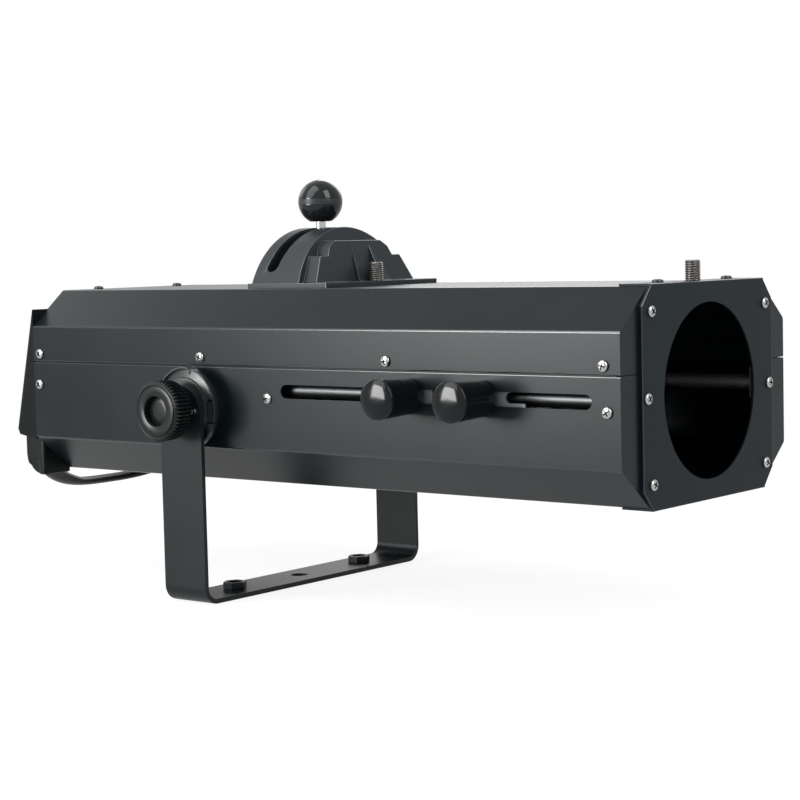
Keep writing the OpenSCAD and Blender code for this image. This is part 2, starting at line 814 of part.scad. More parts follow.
// Fluted clamp knob on the right-hand stud, with a recessed face and a flat cap
module tilt_knob() {
    difference() {
        union() {
            cyl_y(-knob_in - knob_neck - eps, knob_neck + eps, knob_neck_r);
            cyl_y(-knob_out + 2.5, tilt_knob_h - 2.5, tilt_knob_d / 2 - 1.2);
            cyl_y(-knob_out, 2, tilt_knob_d / 2);
            cyl_y(-knob_out + 1, 3, tilt_knob_d / 2 - 2);
            for (i = [0:tilt_flutes - 1])
                rotate([0, i * 360 / tilt_flutes, 0])
                    block([tilt_knob_d / 2 - 2, tilt_knob_d / 2 - 0.1],
                        [3 - knob_out, -knob_in - knob_neck], [-0.8, 0.8]);
        }
        cyl_y(-knob_out - 1, 3.5, knob_face_r);
        cyl_y(-knob_out + 5, knob_out, stud_d / 2 + fit_gap);
    }
    cyl_y(-knob_out + 1.2, 1.3, knob_face_r - 1.5);
}

module tilt_knob_right() color(black_plastic)
    in_place() translate([pivot_x, 0, pivot_z]) tilt_knob();

module tilt_knob_left() color(black_plastic)
    in_place() translate([pivot_x, 0, pivot_z]) mirror([0, 1, 0]) tilt_knob();

// Slide knob with a domed end, a tapering body and a stem that reaches the guide rod
module slide_knob(x) {
    y_in = -half_w - knob_gap;
    y_out = y_in - slide_knob_l;
    dome = 3.5;
    translate([x, 0, rail_z]) {
        translate([0, y_in, 0]) rotate([90, 0, 0])
            cylinder(h = slide_knob_l - dome, r1 = slide_knob_root_d / 2, r2 = slide_knob_d / 2);
        intersection() {
            translate([0, y_out + dome_ball(dome), 0]) sphere(r = dome_ball(dome), $fn = 96);
            cyl_y(y_out - 1, dome + 1 + eps, slide_knob_d / 2);
        }
        cyl_y(y_in - eps, -y_in - rod_y - rod_r - fit_gap, stem_r);
    }
}

// Radius of the ball whose cap of height h closes a slide knob
function dome_ball(h) = (h * h + slide_knob_d * slide_knob_d / 4) / (2 * h);

// Lens carriage: a round plate between two bushes, with a shoe behind the long slot
module carriage(x, lens_d, shoe) {
    lens_r = lens_d / 2;
    difference() {
        union() {
            cyl_x(x - 6, 12, lens_r + 6);
            for (s = [-1, 1]) {
                block([x - 3, x + 3], s > 0 ? [lens_r, rod_y] : [-rod_y, -lens_r],
                    [rail_z - arm_half_h, rail_z + arm_half_h]);
                cyl_x(x - bush_half, 2 * bush_half, bush_r, s * rod_y, rail_z);
            }
            block([x + shoe[0], x + shoe[1]], [-shoe_out, shoe_t - shoe_out],
                [rail_z - shoe_h / 2, rail_z + shoe_h / 2]);
            block([x - 8, x + 8], [-shoe_out, -rod_y], [rail_z - 7, rail_z + 7]);
        }
        cyl_x(x - 7, 10, lens_r);
        cyl_x(x - 7, 20, lens_r - 3);
        for (s = [-1, 1])
            cyl_x(x - bush_half - 1, 2 * bush_half + 2, rod_r + fit_gap, s * rod_y, rail_z);
        cyl_y(-shoe_out - 1, shoe_out - rod_y, stem_r + fit_gap, x, rail_z);
        if (shoe[1] > 25) {
            block([x + 24, x + shoe[1] + 1], [-shoe_out - 1, 1 + shoe_t - shoe_out],
                [rail_z - slot_h / 2 + 2.5, rail_z + shoe_h]);
            cyl_y(-shoe_out - 1, shoe_t + 2, 4, x + 24, rail_z - slot_h / 2 + 6.5);
        }
    }
}

// Lens with two ball faces and a straight edge, from x - t/2 to x + t/2 on the axis
module lens(x, d, t, edge) {
    sag = (t - edge) / 2;
    r = (d * d / 4 + sag * sag) / (2 * sag);
    translate([x, 0, 0]) rotate([0, 90, 0]) intersection() {
        cylinder(h = t + 2, r = d / 2, center = true, $fn = 96);
        translate([0, 0, r - t / 2]) sphere(r = r, $fn = 160);
        translate([0, 0, t / 2 - r]) sphere(r = r, $fn = 160);
    }
}

module zoom_carriage() color(aluminium)
    in_place() carriage(zoom_x, zoom_lens_d, zoom_shoe);

module zoom_lens() color(glass_tint)
    in_place() lens(zoom_x - lens_back, zoom_lens_d, zoom_lens_t, lens_edge);

module zoom_knob() color(gloss_black)
    in_place() slide_knob(zoom_x);

module focus_carriage() color(aluminium)
    in_place() carriage(focus_x, focus_lens_d, focus_shoe);

module focus_lens() color(glass_tint)
    in_place() lens(focus_x - lens_back, focus_lens_d, focus_lens_t, lens_edge);

module focus_knob() color(gloss_black)
    in_place() slide_knob(focus_x);

// Upright plate that holds the iris, with a collar round the turning ring
module iris_plate() color(steel)
    in_place() difference() {
        union() {
            block([iris_plate_x, iris_plate_x + iris_plate_t], [-plate_half, plate_half],
                [tray_top, plate_top]);
            cyl_x(iris_back, iris_plate_x + eps - iris_back, collar_r + collar_t);
            block([iris_plate_x, iris_plate_x + plate_foot], [-plate_half, plate_half],
                [tray_top, tray_top + iris_plate_t - 1]);
        }
        cyl_x(iris_x - 10, iris_plate_x - iris_x + 10, collar_r);
        cyl_x(iris_x, 20, iris_open_d / 2);
        intersection() {
            block([iris_x - 10, iris_x + iris_ring_t / 2 + run_gap], [-plate_half, plate_half],
                [0, plate_half]);
            along_x(iris_x - 10, 20) fan_shape(lever_swing + 6, plate_half);
        }
        for (i = [1:leaf_count])
            leaf_place(i) cyl_x(iris_plate_x - 1, 2.5, leaf_stud_r + hole_gap, 0, 0, 32);
    }

// Triangle of height h that opens upwards by an angle to each side
module fan_shape(angle, h)
    polygon([[0, 0], [-h * tan(angle), h], [h * tan(angle), h]]);

// Places a leaf's own frame, whose origin is its pivot
module leaf_place(i)
    rotate([(i - 1) * 360 / leaf_count, 0, 0]) translate([0, 0, leaf_pivot_r]) children();

// Crescent leaf of the iris with a stud into the plate, turned in to its rest position
module iris_leaf(i) color(steel)
    in_place() leaf_place(i) rotate([-leaf_rest, 0, 0]) {
        x = iris_plate_x - i * leaf_pitch;
        difference() {
            translate([0, 0, -leaf_pivot_r]) along_x(x, leaf_t) difference() {
                circle(r = leaf_out);
                circle(r = leaf_in);
                polygon([[0, 0], [0, -90], [-90, -90], [-90, 90], [0, 90]]);
                rotate([0, 0, leaf_span - 180]) translate([-90, -180]) square([180, 180]);
            }
        }
        along_x(x, leaf_t) difference() {
            translate([0, -3]) square([7, 8], center = true);
            circle(r = leaf_stud_r - 0.4);
        }
        cyl_x(x + leaf_t - eps, iris_plate_x - x - leaf_t + 1, leaf_stud_r, 0, 0, 32);
    }

module iris_leaf_1() iris_leaf(1);
module iris_leaf_2() iris_leaf(2);
module iris_leaf_3() iris_leaf(3);
module iris_leaf_4() iris_leaf(4);
module iris_leaf_5() iris_leaf(5);
module iris_leaf_6() iris_leaf(6);

// Turning ring behind the leaves, with a socket for the lever
module iris_ring() color(steel)
    in_place() difference() {
        cyl_x(iris_back, iris_ring_t, ring_r);
        cyl_x(iris_x - 5, 10, iris_open_d / 2 + 1);
        translate([iris_x, 0, ring_r - lever_in]) cylinder(h = 2 * lever_in, r = lever_root_r);
    }

// Polished lever that screws into the ring and carries the ball
module iris_lever() color(nickel)
    in_place() translate([iris_x, 0, 0]) {
        translate([0, 0, ring_r - lever_in])
            cylinder(h = lever_in + lever_foot - ring_r + eps, r = lever_root_r);
        translate([0, 0, lever_foot]) cylinder(h = ball_flat - lever_foot, r = lever_d / 2);
    }

module ball_knob() color(gloss_black)
    in_place() translate([iris_x, 0, ball_z]) difference() {
        sphere(r = ball_r, $fn = 96);
        translate([-ball_r, -ball_r, ball_flat - ball_z - ball_d]) cube(ball_d);
    }

module led_module() color("gold")
    in_place() {
        block([led_x, led_x + 3], [-30, 30], [-30, 30]);
        cyl_x(led_x + 3 - eps, 1.5, 14);
    }

module heatsink() color(aluminium)
    in_place() {
        block([led_x - sink_base, led_x], [-sink_half, sink_half], [-sink_half, sink_half]);
        for (y = [-sink_half:fin_pitch:sink_half - 2])
            block([sink_x, led_x - sink_base + eps], [y, y + 2], [-sink_half, sink_half]);
    }

module condenser_tube() color(aluminium)
    in_place() difference() {
        union() {
            cyl_x(led_x + 3, tube_end - led_x - 3, tube_r);
            cyl_x(led_x + 3, 3, tube_r + 8);
        }
        cyl_x(led_x + 2, 60, tube_r - 5);
        cyl_x(tube_end - 16, 20, tube_r - 3);
    }

module condenser_lens() color(glass_tint)
    in_place() lens(tube_end - 8, 2 * (tube_r - 3 - fit_gap), 16, 4);

module colour_motor() color(black_plastic)
    in_place() translate([0, wheel_y, 0]) {
        block([motor_face - motor_l, motor_face], [-motor_size / 2, motor_size / 2],
            [-motor_size / 2, motor_size / 2]);
        cyl_x(motor_face - eps, 2, 11 - hole_gap);
        cyl_x(motor_face, wheel_x + wheel_t + 2 - motor_face, shaft_r);
    }

module colour_wheel() color(steel)
    in_place() translate([0, wheel_y, 0]) difference() {
        union() {
            cyl_x(wheel_x, wheel_t, wheel_r, 0, 0, 96);
            cyl_x(wheel_x - 3, wheel_t + 4.5, 7);
        }
        cyl_x(wheel_x - 10, 20, shaft_r + fit_gap);
        for (i = [0:filter_count - 1])
            rotate([i * 360 / filter_count, 0, 0]) cyl_x(wheel_x - 1, 5, filter_r - 1, -wheel_y, 0);
    }

module colour_filters() color("orchid")
    in_place() translate([0, wheel_y, 0])
        for (i = [1:filter_count - 1])
            rotate([i * 360 / filter_count, 0, 0]) cyl_x(wheel_x - 1.1, 1.1, filter_r + 2, -wheel_y, 0);

module fan_frame() color(black_plastic)
    in_place() difference() {
        block([fan_x, fan_x + fan_t], [-fan_size / 2, fan_size / 2], [-fan_size / 2, fan_size / 2]);
        difference() {
            cyl_x(fan_x - 1, fan_t + 2, fan_r);
            cyl_x(fan_x + fan_t - 4, 4, fan_hub_r);
            for (a = [45:90:315])
                rotate([a, 0, 0]) block([fan_x + fan_t - 4, fan_x + fan_t], [0, fan_r + 2], [-2, 2]);
            cyl_x(fan_x + 6, fan_t - 6, 2);
        }
        for (y = [-1, 1], z = [-1, 1])
            cyl_x(fan_x - 1, fan_t + 2, 2.2, y * 41, z * 41, 32);
    }

module fan_rotor() color(black_plastic)
    in_place() difference() {
        union() {
            cyl_x(fan_x + 2, fan_t - 7, fan_hub_r);
            for (i = [0:fan_blades - 1])
                rotate([i * 360 / fan_blades, 0, 0])
                    translate([fan_x + fan_t / 2 - 1.5, 0, fan_hub_r - 1]) rotate([0, 0, 35])
                        block([-8, 8], [-0.8, 0.8], [0, fan_r - fan_hub_r - 1]);
        }
        cyl_x(fan_x + 5, fan_t, 2 + fit_gap);
        difference() {
            cyl_x(fan_x + 5, fan_t, fan_hub_r - 2);
            cyl_x(fan_x + 4, fan_t - 9, 5);
        }
    }

module power_supply() color(aluminium)
    in_place() difference() {
        block([supply_x, supply_x + supply_size[0]], [supply_y, supply_y + supply_size[1]],
            [-supply_half, supply_half]);
        for (i = [0:7], j = [0:3])
            cyl_y(supply_y - 1, 2.5, 3, supply_x + 20 + i * 15, -28 + j * 18, 16);
    }

// Circuit board behind the controls, on four posts, with its display, switches and potentiometer
module control_board() color("darkgreen")
    in_place() on_panel(control_y, 0) {
        block([board_x, board_x + board_t], [-21, 21], [12, panel_l - 14]);
        for (y = [-18, 18], v = [18, display_v - 17])
            cyl_x(panel_t, board_x - panel_t + eps, 2.5, y, v, 32);
        block([panel_t + 3, board_x + eps], [-17, 17], [display_v - 9, display_v + 9]);
        cyl_x(8 + run_gap, board_x - 8, 8, 0, dimmer_v);
        for (i = [0:3])
            cyl_x(6, board_x - 6 + eps, 2, (i - 1.5) * button_pitch, button_v, 32);
        block([board_x + board_t - eps, board_x + board_t + 8], [-16, 12], [30, 70]);
    }

module display_window() color("#101418")
    in_place() on_panel(control_y, display_v) {
        plate([-0.4, panel_t + eps], display_w - 0.4, display_h - 0.4);
        plate([panel_t, panel_t + 2], display_w + 3, display_h + 4);
    }

// Round push button, held behind the panel by its flange
module button(i) color(black_plastic)
    in_place() on_panel(button_y(i), button_v) {
        cyl_x(-2, panel_t + 2 + run_gap, button_r);
        cyl_x(panel_t + run_gap, 1.2, button_r + 0.8);
        cyl_x(panel_t + run_gap, 6 - button_travel - panel_t - 2 * run_gap, 1.5, 0, 0, 32);
    }

module button_1() button(0);
module button_2() button(1);
module button_3() button(2);
module button_4() button(3);

// Ribbed rotary knob on the potentiometer's shaft
module dimmer_knob() color(black_plastic)
    in_place() on_panel(control_y, dimmer_v) {
        difference() {
            union() {
                cyl_x(-13, 12.5, dimmer_r - 0.8);
                for (i = [0:17])
                    rotate([i * 20, 0, 0]) block([-12, -2], [-0.7, 0.7], [dimmer_r - 2, dimmer_r]);
            }
            block([-14, -12.2], [-0.6, 0.6], [2, dimmer_r]);
        }
        cyl_x(-1, 9, dimmer_shaft_r);
    }

// Rocker of the mains switch, tipped to one side about its own pin
module power_rocker() color(black_plastic)
    in_place() on_panel(socket_y, rocker_v) translate([rocker_pin, 0, 0]) intersection() {
        cyl_y(run_gap - rocker_in, 2 * (rocker_in - run_gap), rocker_r);
        rotate([0, rocker_tip, 0]) block([-4.5, 9], [-rocker_w, rocker_w], [-rocker_h, rocker_h]);
    }

// Fixed frame of the mains switch and the inlet with its three pins
module mains_inlet() color(gloss_black)
    in_place() {
        on_panel(socket_y, rocker_v) difference() {
            union() {
                plate([-1.5, 0], rocker_w + 4, rocker_h + 3);
                plate([-eps, 13], rocker_w - 2 * hole_gap, rocker_h - 2 * hole_gap);
            }
            block([-3, 11.5], [-rocker_in, rocker_in], [-rocker_r - run_gap, rocker_r + run_gap]);
        }
        on_panel(socket_y, inlet_v) {
            difference() {
                union() {
                    plate([-2, 0], inlet_w + 22, inlet_h + 10);
                    plate([-eps, inlet_l + 4], inlet_w - 2 * hole_gap, inlet_h - 2 * hole_gap);
                }
                plate([-3, inlet_l], inlet_w - 4, inlet_h - 4);
                for (y = [-20, 20])
                    cyl_x(-3, 8, screw_r, y, 0, 32);
            }
            for (p = [[-7, -2], [7, -2], [0, 2]])
                translate([0, p[0], p[1]]) plate([6, inlet_l + eps], 2, 5);
        }
    }

// Flange and barrel shared by the two control sockets
module dmx_body(cup_r, cup_l) {
    difference() {
        union() {
            block([-2, 0], [-13, 13], [-15.5, 15.5]);
            cyl_x(-eps, 22, dmx_r - hole_gap);
        }
        cyl_x(-3, cup_l + 3, cup_r);
        for (s = [-1, 1])
            cyl_x(-3, 6, 1.6, s * 9.5, s * 12, 32);
    }
}

module dmx_input() color(black_plastic)
    in_place() on_panel(dmx_y[0], dmx_v) {
        dmx_body(9.5, 15);
        for (a = [90, 210, 330])
            rotate([a, 0, 0]) cyl_x(6, 9 + eps, 1.2, 0, 5, 24);
    }

module dmx_output() color(black_plastic)
    in_place() on_panel(dmx_y[1], dmx_v) {
        dmx_body(9.5, 15);
        difference() {
            cyl_x(0.5, 14.5 + eps, 7.5);
            for (a = [90, 210, 330])
                rotate([a, 0, 0]) cyl_x(-1, 12, 1.3, 0, 4.5, 24);
        }
    }

// Bright screws along both sides and round the front plate
module cover_screws() color(nickel)
    in_place() {
        both_sides() {
            for (x = upper_row_x)
                on_side(x, upper_row_z) pan_screw(5);
            for (p = lower_row)
                on_side(p[0], p[1]) pan_screw(6);
        }
        front_screw_places() translate([front_x, 0, 0]) rotate([0, 90, 0]) pan_screw(7);
    }

// Dark screws of the flat top and of the front plate's two flanges
module top_screws() color(black_plastic)
    in_place()
        for (y = [-top_screw_y, top_screw_y]) {
            translate([rear_top_x, y, half_h]) pan_screw(6);
            translate([front_top_x, y, half_h + sheet]) pan_screw(6);
            translate([front_top_x, y, -half_h - sheet]) mirror([0, 0, 1]) pan_screw(6);
        }

// Screws of the rear panel and of the handle
module rear_screws() color(nickel)
    in_place() {
        panel_screw_places() rotate([0, -90, 0]) pan_screw(2 * panel_t);
        handle_screw_places() translate([0, 0, foot_bottom + 10]) mirror([0, 0, 1]) pan_screw(34);
    }

// Moulded handle under the rear frame: two feet and a grip that bows down and back
module rear_handle() color(black_plastic)
    in_place() difference() {
        union() {
            both_sides() difference() {
                union() {
                    block([-foot_x, 0], foot_span, [round_z, 8 - panel_bottom]);
                    block([foot_round - foot_x, 0], foot_span, [foot_bottom, round_z + 1]);
                    intersection() {
                        cyl_y(-foot_out, foot_l, foot_round, foot_round - foot_x, round_z);
                        block([-foot_x, foot_round - foot_x], foot_span, [foot_bottom, round_z]);
                    }
                }
                block([3 - foot_x, -7], [-foot_out - 1, 2 - foot_out], [foot_bottom - 1, foot_bottom + 12]);
            }
            grip();
        }
        wedge(0, body_w);
        handle_screw_places() {
            translate([0, 0, foot_bottom - 20]) cylinder(h = 60, r = screw_r + hole_gap, $fn = 32);
            translate([0, 0, foot_bottom - 20]) cylinder(h = 30, r = head_r + 0.6, $fn = 32);
        }
    }

// Middle of the grip at u, from -1 at the right foot to 1 at the left foot
function grip_point(u) = [-foot_x / 2 - handle_bow * (1 - u * u), u * grip_end,
    -handle_drop + (handle_drop + foot_bottom + 6) * pow(abs(u), 2.6) + grip_swell(u)];

// How much the grip's half height grows where it runs into a foot
function grip_swell(u) = grip_flare * min(1, 1.6 * max(0, abs(u) - 0.33));

module grip() {
    points = [for (i = [0:grip_rings], j = [0:grip_sides - 1])
        let (a = j * 360 / grip_sides)
        let (u = 2 * i / grip_rings - 1)
        grip_point(u) + [grip_half_x * cos(a), 0, (grip_half_z + grip_swell(u)) * sin(a)]];
    sides = [for (i = [0:grip_rings - 1], j = [0:grip_sides - 1])
        let (a = i * grip_sides + j)
        let (b = i * grip_sides + (j + 1) % grip_sides)
        each [[a, b, a + grip_sides], [b, b + grip_sides, a + grip_sides]]];
    start = [for (j = [1:grip_sides - 2]) [0, j + 1, j]];
    last = grip_rings * grip_sides;
    end = [for (j = [1:grip_sides - 2]) [last, last + j, last + j + 1]];
    polyhedron(points, concat(sides, start, end));
}

yoke_strap();
yoke_nuts();
pivot_discs();
disc_screws();
top_cover();
bottom_cover();
front_plate();
rear_frame();
rear_panel();
chassis_tray();
rod_brackets();
guide_rods();
dome_cover();
accessory_studs();
rear_handle();
pivot_bosses();
friction_rings();
tilt_studs();
tilt_knob_right();
tilt_knob_left();
zoom_carriage();
zoom_lens();
zoom_knob();
focus_carriage();
focus_lens();
focus_knob();
iris_plate();
iris_ring();
iris_lever();
ball_knob();
iris_leaf_1();
iris_leaf_2();
iris_leaf_3();
iris_leaf_4();
iris_leaf_5();
iris_leaf_6();
led_module();
heatsink();
condenser_tube();
condenser_lens();
colour_motor();
colour_wheel();
colour_filters();
fan_frame();
fan_rotor();
power_supply();
control_board();
display_window();
button_1();
button_2();
button_3();
button_4();
dimmer_knob();
power_rocker();
mains_inlet();
dmx_input();
dmx_output();
cover_screws();
top_screws();
rear_screws();
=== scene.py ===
import bmesh
import bpy
import json
import math
import random
from mathutils import Matrix, Vector


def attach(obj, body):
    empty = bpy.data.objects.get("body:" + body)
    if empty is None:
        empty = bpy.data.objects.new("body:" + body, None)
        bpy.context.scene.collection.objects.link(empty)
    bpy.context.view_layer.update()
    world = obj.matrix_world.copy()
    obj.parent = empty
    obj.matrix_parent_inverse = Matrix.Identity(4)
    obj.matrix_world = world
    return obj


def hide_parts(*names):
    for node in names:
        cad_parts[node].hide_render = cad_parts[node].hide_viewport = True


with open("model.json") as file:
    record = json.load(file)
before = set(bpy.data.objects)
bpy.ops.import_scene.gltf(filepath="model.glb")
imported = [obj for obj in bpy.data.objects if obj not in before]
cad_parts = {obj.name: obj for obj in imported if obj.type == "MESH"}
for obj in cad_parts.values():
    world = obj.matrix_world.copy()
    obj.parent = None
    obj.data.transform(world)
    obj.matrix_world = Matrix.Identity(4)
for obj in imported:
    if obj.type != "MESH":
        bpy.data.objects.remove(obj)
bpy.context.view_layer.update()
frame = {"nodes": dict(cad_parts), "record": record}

# Camera.
# The photograph's view: from the right and ahead, a little above the beam's height, through
# a long lens. The numbers come from fitting the body's straight edges and screws.

# The stand bolt's hole is the origin, and in millimetres it lies this far ahead of the body's
# rear edge and this far below the optical axis.
bolt_x, axis_z = 201, 177


def at(x, y, z):
    """A point given in millimetres from the body's rear edge, middle plane and optical axis."""
    return Vector((x - bolt_x, y, z + axis_z)) / 1000


azimuth, elevation, roll = (math.radians(a) for a in (38.704, 4.357, -1.361))
focal_pixels, photo_pixels, sensor = 2016.7, 800, 36
back = Vector((math.sin(azimuth) * math.cos(elevation), -math.cos(azimuth) * math.cos(elevation),
               math.sin(elevation)))
level_right = Vector((0, 0, 1)).cross(back).normalized()
level_up = back.cross(level_right)
right = math.cos(roll) * level_right + math.sin(roll) * level_up
up = math.cos(roll) * level_up - math.sin(roll) * level_right
camera = bpy.data.objects.new("camera", bpy.data.cameras.new("camera"))
bpy.context.scene.collection.objects.link(camera)
camera.matrix_world = (Matrix.Translation(at(1369.35, -1310.88, 112.11))
                       @ Matrix((right, up, back)).transposed().to_4x4())
camera.data.sensor_width = sensor
camera.data.lens = sensor * focal_pixels / photo_pixels
camera.data.clip_end = 50
bpy.context.scene.camera = camera

# Studio.
# A white table top and a white room with soft boxes: a tall one above the lamp's right side, a
# low one that the side mirrors, one ahead, and two weak ones. The table takes a faint shadow.


def colour(code):
    """An sRGB hex colour as the linear values that a shader takes."""
    part = [int(code[i:i + 2], 16) / 255 for i in (1, 3, 5)]
    return [c / 12.92 if c <= 0.04045 else ((c + 0.055) / 1.055) ** 2.4 for c in part] + [1]


def add(tree, kind, inputs=None, **settings):
    """Adds a shader node, sets its settings, and fills its inputs with values or links."""
    made = tree.nodes.new("ShaderNode" + kind)
    for name, value in settings.items():
        setattr(made, name, value)
    for key, value in (inputs or {}).items():
        if isinstance(value, bpy.types.NodeSocket):
            tree.links.new(value, made.inputs[key])
        else:
            made.inputs[key].default_value = value
    return made


def rays(tree, *kinds):
    """One for a ray of any of these kinds, and zero for every other ray."""
    path = add(tree, "LightPath")
    found = path.outputs[kinds[0]]
    for kind in kinds[1:]:
        found = add(tree, "Math", {0: found, 1: path.outputs[kind]}, operation="MAXIMUM").outputs[0]
    return found


def link_object(name, data):
    """A new object in the scene."""
    made = bpy.data.objects.new(name, data)
    bpy.context.scene.collection.objects.link(made)
    return made


room = bpy.data.worlds.new("white_room")
room.use_nodes = True
bpy.context.scene.world = room
tree = room.node_tree
tree.nodes.clear()
seen = rays(tree, "Is Camera Ray", "Is Glossy Ray", "Is Transmission Ray")
white = add(tree, "Background", {"Color": colour("#ffffff"), "Strength": 1.0})
fill = add(tree, "Background", {"Color": colour("#f2f5fa"), "Strength": 0.25})
both = add(tree, "MixShader", {0: seen, 1: fill.outputs[0], 2: white.outputs[0]})
add(tree, "OutputWorld", {"Surface": both.outputs[0]})

# The paper is plain to the light that it throws on the lamp. To the eye it glows a little, so it
# is as white as the room, and from 0.5 to 1.3 m out its last shadow fades.
half, sink = 12, 0.0005
floor_mesh = bpy.data.meshes.new("table_top")
floor_mesh.from_pydata([(-half, -half, 0), (half, -half, 0), (half, half, 0), (-half, half, 0)],
                       [], [(0, 1, 2, 3)])
table_top = link_object("table_top", floor_mesh)
table_top.location.z = -sink
paper = bpy.data.materials.new("white_paper")
paper.use_nodes = True
tree = paper.node_tree
tree.nodes.clear()
sheet = add(tree, "BsdfDiffuse", {"Color": colour("#f4f4f4")})
shade = add(tree, "BsdfDiffuse", {"Color": colour("#6a6a6a")})
glow = add(tree, "Emission", {"Color": colour("#ffffff"), "Strength": 0.88})
near = add(tree, "AddShader", {0: shade.outputs[0], 1: glow.outputs[0]})
clear = add(tree, "Emission", {"Color": colour("#ffffff"), "Strength": 1.0})
reach = add(tree, "VectorMath", {0: add(tree, "TexCoord").outputs["Object"]}, operation="LENGTH")
far = add(tree, "MapRange", {"Value": reach.outputs["Value"], "From Min": 0.5, "From Max": 1.3})
pale = add(tree, "MixShader", {0: far.outputs[0], 1: near.outputs[0], 2: clear.outputs[0]})
seen = rays(tree, "Is Camera Ray", "Is Glossy Ray")
both = add(tree, "MixShader", {0: seen, 1: sheet.outputs[0], 2: pale.outputs[0]})
add(tree, "OutputMaterial", {"Surface": both.outputs[0]})
floor_mesh.materials.append(paper)

# Each box: its direction from the body's middle, its distance and size in metres, and its watts.
middle = at(300, 0, 0)
for name, direction, distance, size, power in [
        ("side_box", (-0.28, -0.61, 0.74), 2.4, (1.6, 2.7), 68),
        ("low_box", (-0.455, -0.883, 0.118), 2.4, (0.86, 0.80), 62),
        ("front_box", (0.79, -0.10, 0.60), 2.4, (1.0, 2.0), 52),
        ("left_box", (-0.35, 0.80, 0.50), 2.6, (1.6, 1.4), 18),
        ("rear_box", (-0.88, 0.05, 0.42), 2.6, (1.2, 1.0), 6)]:
    lamp = bpy.data.lights.new(name, "AREA")
    lamp.shape = "RECTANGLE"
    lamp.size, lamp.size_y = size
    lamp.energy = power
    box = link_object(name, lamp)
    box.location = middle + Vector(direction).normalized() * distance
    box.rotation_euler = (middle - box.location).to_track_quat("-Z", "Y").to_euler()

# Upper and lower covers.
# Two folded covers of 1.5 mm sheet steel, lapped at the seam along both sides, with a polyester
# powder coat. Press-brake bends leave an outer radius of 2.4 mm, and punched edges are barely broken.
body_of_node = {n: b for b, names in frame["record"]["behaviour"]["bodies"].items() for n in names}


def rounded_edges(mesh, test, width, segments=4, least_turn=0.35):
    """Rounds those edges of a mesh that turn by more than least_turn, in radians, and pass the test."""
    bm = bmesh.new()
    bm.from_mesh(mesh)
    picked = [e for e in bm.edges if e.is_manifold and e.calc_face_angle(0) > least_turn and test(e)]
    bmesh.ops.bevel(bm, geom=picked, offset=width, segments=segments, profile=0.5, affect="EDGES",
                    clamp_overlap=True)
    bm.to_mesh(mesh)
    bm.free()


def flat_faces(mesh, blended=0.76):
    """Shades a mesh smooth so that its large faces stay flat and only the rounded edges blend.
    blended is the cosine of some 40 degrees: faces that turn by more keep their own normals."""
    mesh.shade_smooth()
    mesh.set_sharp_from_angle(angle=math.radians(40))
    normals = [Vector((0, 0, 0)) for _ in mesh.loops]
    fans = {}
    for face in mesh.polygons:
        for i in face.loop_indices:
            fans.setdefault(mesh.loops[i].vertex_index, []).append((face, i))
    for fan in fans.values():
        for face, i in fan:
            for other, _ in fan:
                if face.normal.dot(other.normal) > blended:
                    normals[i] += other.normal * other.area
    mesh.normals_split_custom_set([n.normalized() for n in normals])


def evaluated(piece):
    """The mesh that a piece's modifiers make of it."""
    return bpy.data.meshes.new_from_object(piece.evaluated_get(bpy.context.evaluated_depsgraph_get()))


def softened(node, edge, bends=()):
    """Stands for a node with its own shape, its bends rounded and every cut edge broken."""
    mesh = frame["nodes"][node].data.copy()
    bm = bmesh.new()
    bm.from_mesh(mesh)
    bmesh.ops.remove_doubles(bm, verts=bm.verts, dist=1e-6)
    bmesh.ops.dissolve_limit(bm, angle_limit=math.radians(0.4), verts=bm.verts, edges=bm.edges)
    bm.to_mesh(mesh)
    bm.free()
    for test, width in bends:
        rounded_edges(mesh, test, width)
    mesh.materials.clear()
    piece = link_object(node + "_skin", mesh)
    edges = piece.modifiers.new("edges", "BEVEL")
    edges.limit_method = "ANGLE"
    edges.angle_limit = math.radians(32)
    edges.width = edge
    edges.segments = 2
    edges.use_clamp_overlap = True
    shaped = evaluated(piece)
    piece.modifiers.clear()
    piece.data = shaped
    flat_faces(shaped)
    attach(piece, body_of_node[node])
    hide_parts(node)
    return piece


def start(name):
    """A new material with its node tree, its surface shader and the piece's own coordinates."""
    made = bpy.data.materials.new(name)
    made.use_nodes = True
    tree = made.node_tree
    tree.nodes.clear()
    surface = add(tree, "BsdfPrincipled")
    add(tree, "OutputMaterial", {"Surface": surface.outputs[0]})
    return made, tree, surface, add(tree, "TexCoord").outputs["Object"]


